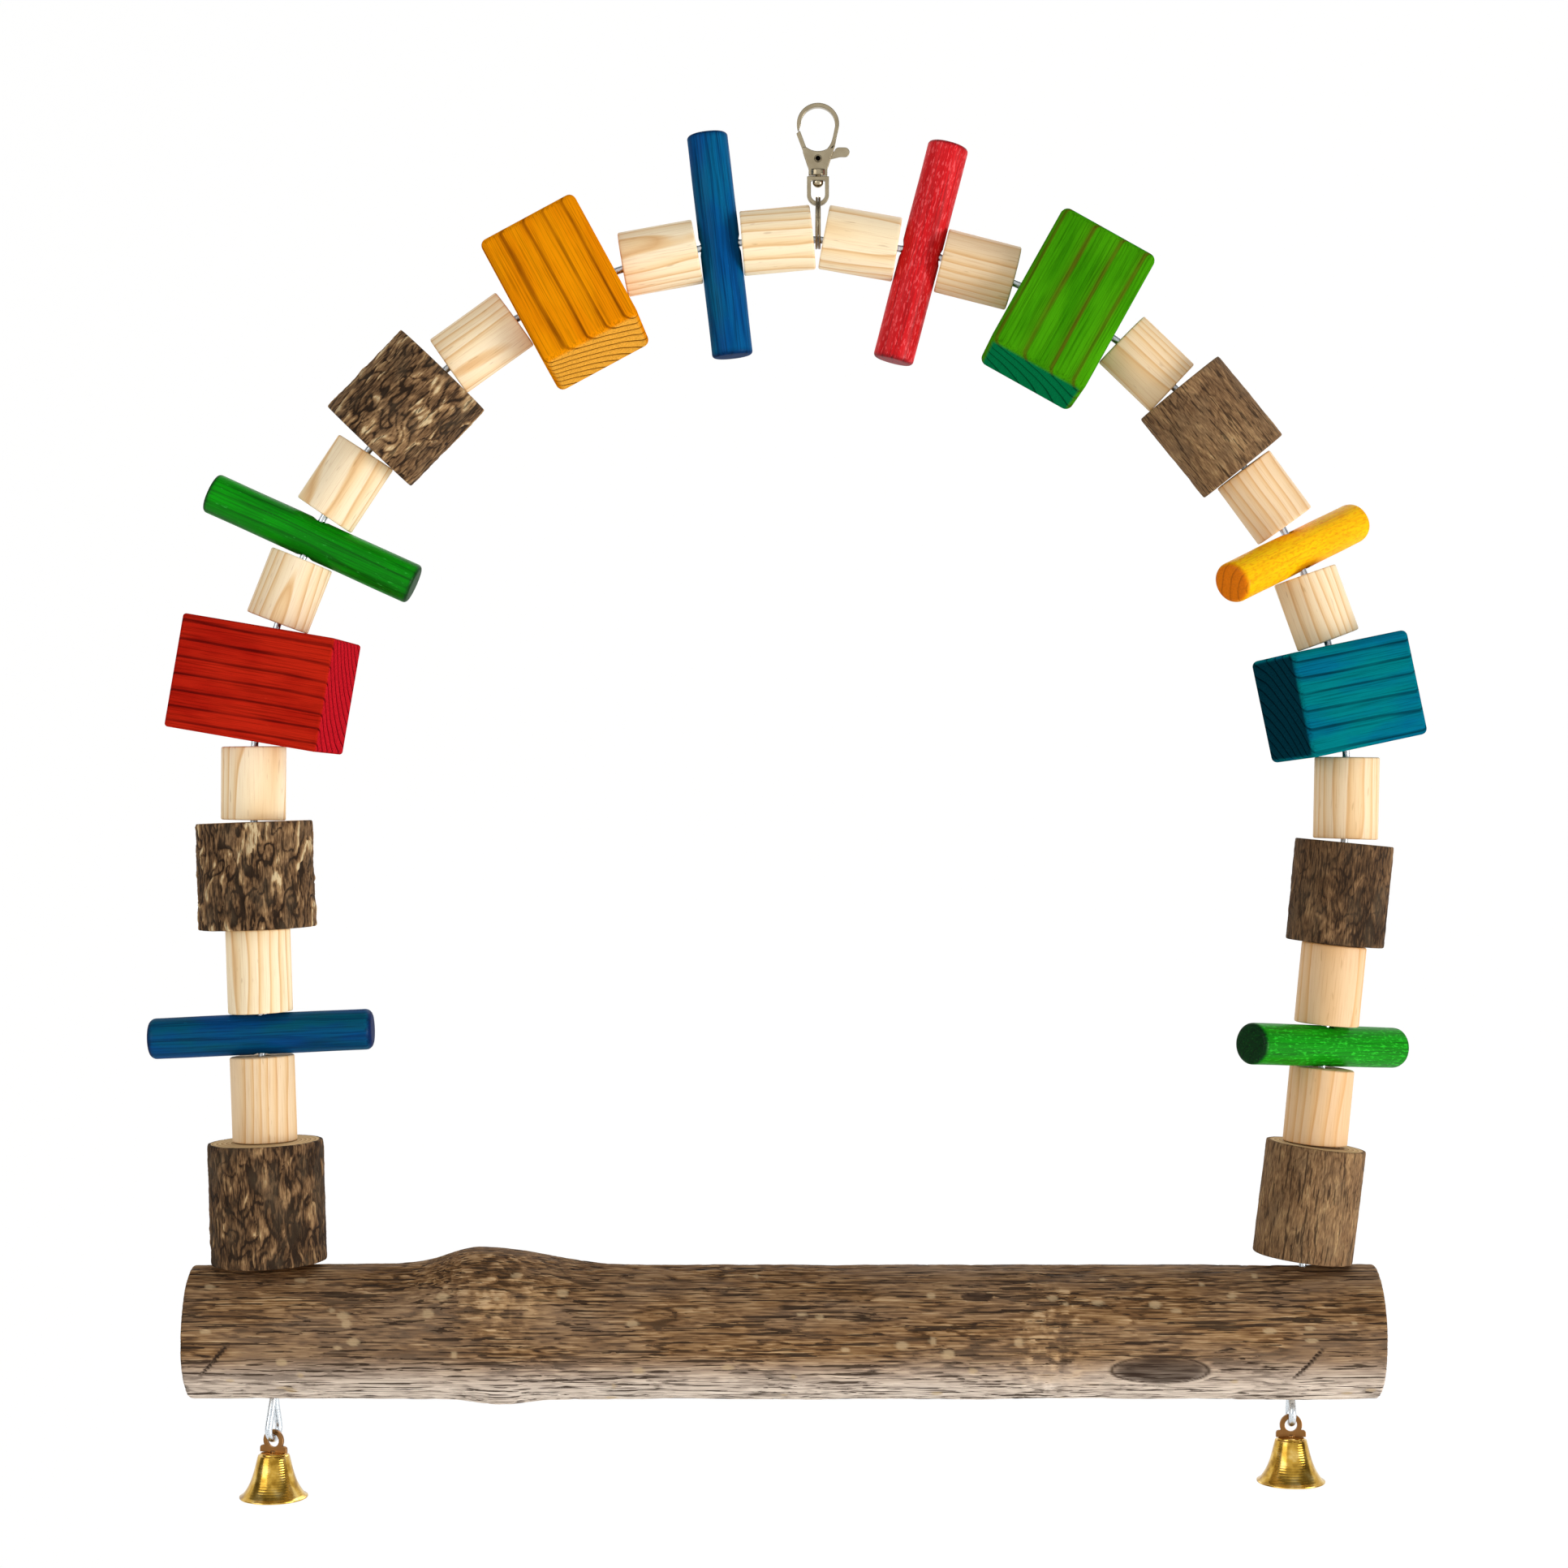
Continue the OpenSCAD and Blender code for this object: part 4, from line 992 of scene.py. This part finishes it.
# The paler underside is partly weathering and partly painted light from below.
upright = add(tree, "SeparateXYZ", {}, {"Vector": log})
soft_edge = {"From Min": -3.0, "From Max": -19.0, "interpolation_type": "SMOOTHSTEP"}
below = add(tree, "MapRange", soft_edge, {"Value": upright.outputs["Y"]})
lifted = ranged(tree, level, 0, 1, 0.3)
washed_and_lit_share = calc(tree, "MULTIPLY", below, lifted)
washed_and_lit = over(tree, toned, "#F0E2D4", washed_and_lit_share)
dash = ranged(tree, crack, 0.43, 0.405, 0, 0.9)
dashed = over(tree, washed_and_lit, "#2E2014", dash)
cork = marked(tree, "cork")
cork_share = calc(tree, "MULTIPLY", cork, 0.6)
corked = over(tree, dashed, "#BCA27C", cork_share)
# Scars and nicks darkened: partly the scars' own dark wood, partly painted shade.
shadow = marked(tree, "scar")
shadow_share = calc(tree, "MULTIPLY", shadow, 0.95)
scarred_and_shaded = over(tree, corked, "#33241A", shadow_share)
bare = marked(tree, "bare")
bare_share = calc(tree, "MULTIPLY", bare, level)
bared = over(tree, scarred_and_shaded, "#C09A6C", bare_share)
sawn = ramp(tree, ring, (0.0, "#DCC49A"), (0.7, "#CDAE80"), (0.92, "#A98558"), (1.0, "#D6BC90"))
under = marked(tree, "under_mm")
inside = ranged(tree, under, 1.4, 1.8)
whole = add(tree, "Mix", {}, {"Factor": inside, "A": bared, "B": sawn})
bump = relief(tree, crack, 0.8, 0.3)
rough = ranged(tree, crack, 0, 1, 0.7, 0.92)
join(tree, shader, Base_Color=whole, Roughness=rough, Normal=bump)

perch = mesh_object("perch_branch", *loft(ring_points), perch_bark, 50)
own = points_of(perch)
mark(perch, "log_mm", np.stack([own[:, 1], own[:, 2] - perch_z, own[:, 0]], axis=1))
mark(perch, "under_mm", [p[3] for row in rows for p in row])
mark(perch, "bark_mm", [p[4] for row in rows for p in row])
mark(perch, "cork", pale)
mark(perch, "scar", dark)
mark(perch, "bare", worn)
stand_for(perch, "perch", "arch")


# Bells: a spun brass bell under each end of the perch, hung by a flat copper-washed
# lug. The lug's neck goes down through the crown, where its tab holds the clapper.
bell_top = -4.73
bell_h = 15.0
bell_wall = 0.8
hole_r = 1.05
crown_r = 5.3
mouth_r = 11.4


def bell_profile():
    """Half section of a bell, from the crown's hole down outside and up inside."""
    outside = [(hole_r, 0.0), (2.6, 0.0), (4.0, -0.05), (4.4, -0.2), (4.5, -0.6), (4.9, -0.68), (5.2, -0.85)]
    for i in range(1, 34):
        share = i / 34
        flare = 0.55 * share + 0.45 * share**4
        outside.append((crown_r + (mouth_r - crown_r) * flare, -1 - share * (bell_h - 1)))
    lip = [(-0.02, 0.5), (0.02, 0.25), (-0.1, 0.05), (-0.35, 0.0), (-0.75, 0.1)]
    inside = [(r - bell_wall, h) for r, h in outside[:9:-1]]
    crown = [(4.0, -1.3), (2.6, -bell_wall), (hole_r, -bell_wall)]
    return outside[:-1] + [(mouth_r + r, h - bell_h) for r, h in lip] + inside + crown


# Spun brass, polished and lightly aged: yellow gold clouded with brown, and the spinning tool's fine rings,
# 0.4 mm apart, which stretch each highlight.
spun_brass, tree, shader = new_material("spun_brass", Metallic=1.0)
place = marked(tree, "bell_mm", "Vector")
cloud = add(tree, "TexNoise", {"Scale": 0.25, "Detail": 4.0}, {"Vector": place})
upright = add(tree, "SeparateXYZ", {}, {"Vector": place})
groove = calc(tree, "MULTIPLY", upright.outputs["Z"], 2 * math.pi / 0.8)
tooled = calc(tree, "SINE", groove)
tone = ramp(tree, cloud, (0.32, "#9C7424"), (0.5, "#CFA444"), (0.68, "#EBCB7C"))
rough = ranged(tree, cloud, 0, 1, 0.12, 0.28)
bump = relief(tree, tooled, 0.35, 0.03)
join(tree, shader, Base_Color=tone, Roughness=rough, Normal=bump)

copper_strap = metal("copper_washed_strap", "#D0A478", "#9A6E40", "#4E3218", 0.6, 0.26, 0.46, 0.02)

for side, word in ((-1, "left"), (1, "right")):
    points, faces = turned(bell_profile(), 96)
    bell = mesh_object(word + "_bell_spun", points, faces, spun_brass, 30)
    mark(bell, "bell_mm", points_of(bell))
    bell.matrix_world = Matrix.Translation(
        (loop_bottom[side].x * MM, 0, (loop_bottom[side].z + bell_top) * MM)
    ) @ Matrix.Rotation(loop_turn[side], 4, "Z")
    stand_for(bell, word + "_bell", word + "_bell")
    soften(dress(word + "_bell_lug", copper_strap), 0.12, 3)
    soften(dress(word + "_clapper", zinc_wire), 0.14, 2)


# The photograph's view: level with the middle of the swing, a metre in front of it.
view_x = -11.4
view_z = -221.3
view_distance = 1000
lens = bpy.data.cameras.new("photo_camera")
lens.sensor_width = 36
lens.lens = 68.4
camera = bpy.data.objects.new("photo_camera", lens)
camera.location = (view_x * MM, -view_distance * MM, view_z * MM)
camera.rotation_euler = (math.radians(90), 0, 0)
bpy.context.scene.collection.objects.link(camera)
bpy.context.scene.camera = camera


# Studio: a plain pale floor under the hanging swing and soft lamps round it.
def soft_lamp(name, at, aim, size, power):
    """A square soft box that faces a point."""
    data = bpy.data.lights.new(name, "AREA")
    data.shape = "SQUARE"
    data.size = size
    data.energy = power
    lamp = bpy.data.objects.new(name, data)
    lamp.location = at
    lamp.rotation_euler = (Vector(aim) - Vector(at)).to_track_quat("-Z", "Y").to_euler()
    bpy.context.scene.collection.objects.link(lamp)


soft_lamp("key_lamp", (1.6, -0.95, -0.6), (0, 0, -0.24), 0.9, 24)
soft_lamp("fill_lamp", (-1.5, -1.3, 0.2), (0, 0, -0.24), 1.2, 9)
soft_lamp("back_lamp", (0.3, 1.3, 0.7), (0, 0, -0.2), 1.0, 7)

# A soft surround, brighter from the lower right, that only the camera sees as white.
world = bpy.data.worlds.new("studio")
bpy.context.scene.world = world
world.use_nodes = True
tree = world.node_tree
facing = add(tree, "TexCoord").outputs["Generated"]
brightest = {"operation": "DOT_PRODUCT", 1: (0.62, -0.3, -0.72)}
toward = add(tree, "VectorMath", brightest, {0: facing}).outputs["Value"]
around = ranged(tree, toward, -1, 1, 0.42, 0.92)

# What metal mirrors: the white background, the pale front of the studio where the flat
# faces look, and its dimmer sides, which outline the rounded ones.
side = add(tree, "SeparateXYZ", {}, {"Vector": facing}).outputs["Y"]
share_back = ranged(tree, side, -1, 1)
sides = [(0.0, "#FFFFFF"), (0.1, "#F0F0F0"), (0.26, "#7A7A7A"), (0.55, "#7A7A7A"), (0.72, "#FFFFFF")]
mirrored = ramp(tree, share_back, *sides)


def seen_directly(tree, glossy=True):
    """1 for the rays that show the background as it is: in view, mirrored or through glass."""
    path = add(tree, "LightPath").outputs
    seen = calc(tree, "MAXIMUM", path["Is Camera Ray"], path["Is Transmission Ray"])
    if glossy:
        seen = calc(tree, "MAXIMUM", seen, path["Is Glossy Ray"])
    return seen


level = calc(tree, "MAXIMUM", around, seen_directly(tree, glossy=False))
in_mirror = add(tree, "LightPath").outputs["Is Glossy Ray"]
strength = add(tree, "Mix", {}, {"Factor": in_mirror, "A": level, "B": mirrored})
tree.links.new(output(strength), tree.nodes["Background"].inputs["Strength"])
tree.nodes["Background"].inputs["Color"].default_value = (1, 1, 1, 1)

# Matt white paper, rolled out under the swing and up behind it in one curve.
paper, tree, shader = new_material("backdrop_paper", Roughness=0.9, Specular_IOR_Level=0.1)
shader.inputs["Base Color"].default_value = linear("#F4F3F0")
place = add(tree, "TexCoord")
grain = add(tree, "TexNoise", {"Scale": 1 / (2.5 * MM), "Detail": 2.0}, {"Vector": place.outputs["Object"]})
join(tree, shader, Normal=relief(tree, grain, 0.1, 0.2))
share = calc(tree, "MULTIPLY", seen_directly(tree), 0.9)
white = add(tree, "Emission", {"Color": (1, 1, 1, 1), "Strength": 1.03})
both = add(tree, "MixShader", {}, {0: share, 1: shader.outputs["BSDF"], 2: white})
tree.links.new(both.outputs[0], tree.nodes["Material Output"].inputs["Surface"])

floor_z = -1.15
floor_front = -14.0
floor_back = 0.9
bend_r = 1.2
half_width = 12.0
wall_top = 3.0
curve = [(floor_front, floor_z), (floor_back, floor_z)]
for i in range(1, 13):
    a = math.radians(i * 7.5)
    curve.append((floor_back + bend_r * math.sin(a), floor_z + bend_r * (1 - math.cos(a))))
curve.append((floor_back + bend_r, wall_top))
backdrop_mesh = bpy.data.meshes.new("backdrop")
backdrop_mesh.from_pydata(
    [(x, y, z) for y, z in curve for x in (-half_width, half_width)],
    [],
    [(2 * i, 2 * i + 1, 2 * i + 3, 2 * i + 2) for i in range(len(curve) - 1)],
)
backdrop_mesh.polygons.foreach_set("use_smooth", [True] * len(backdrop_mesh.polygons))
backdrop_mesh.materials.append(paper)
backdrop = bpy.data.objects.new("backdrop", backdrop_mesh)
bpy.context.scene.collection.objects.link(backdrop)

bpy.context.scene.view_settings.view_transform = "Standard"
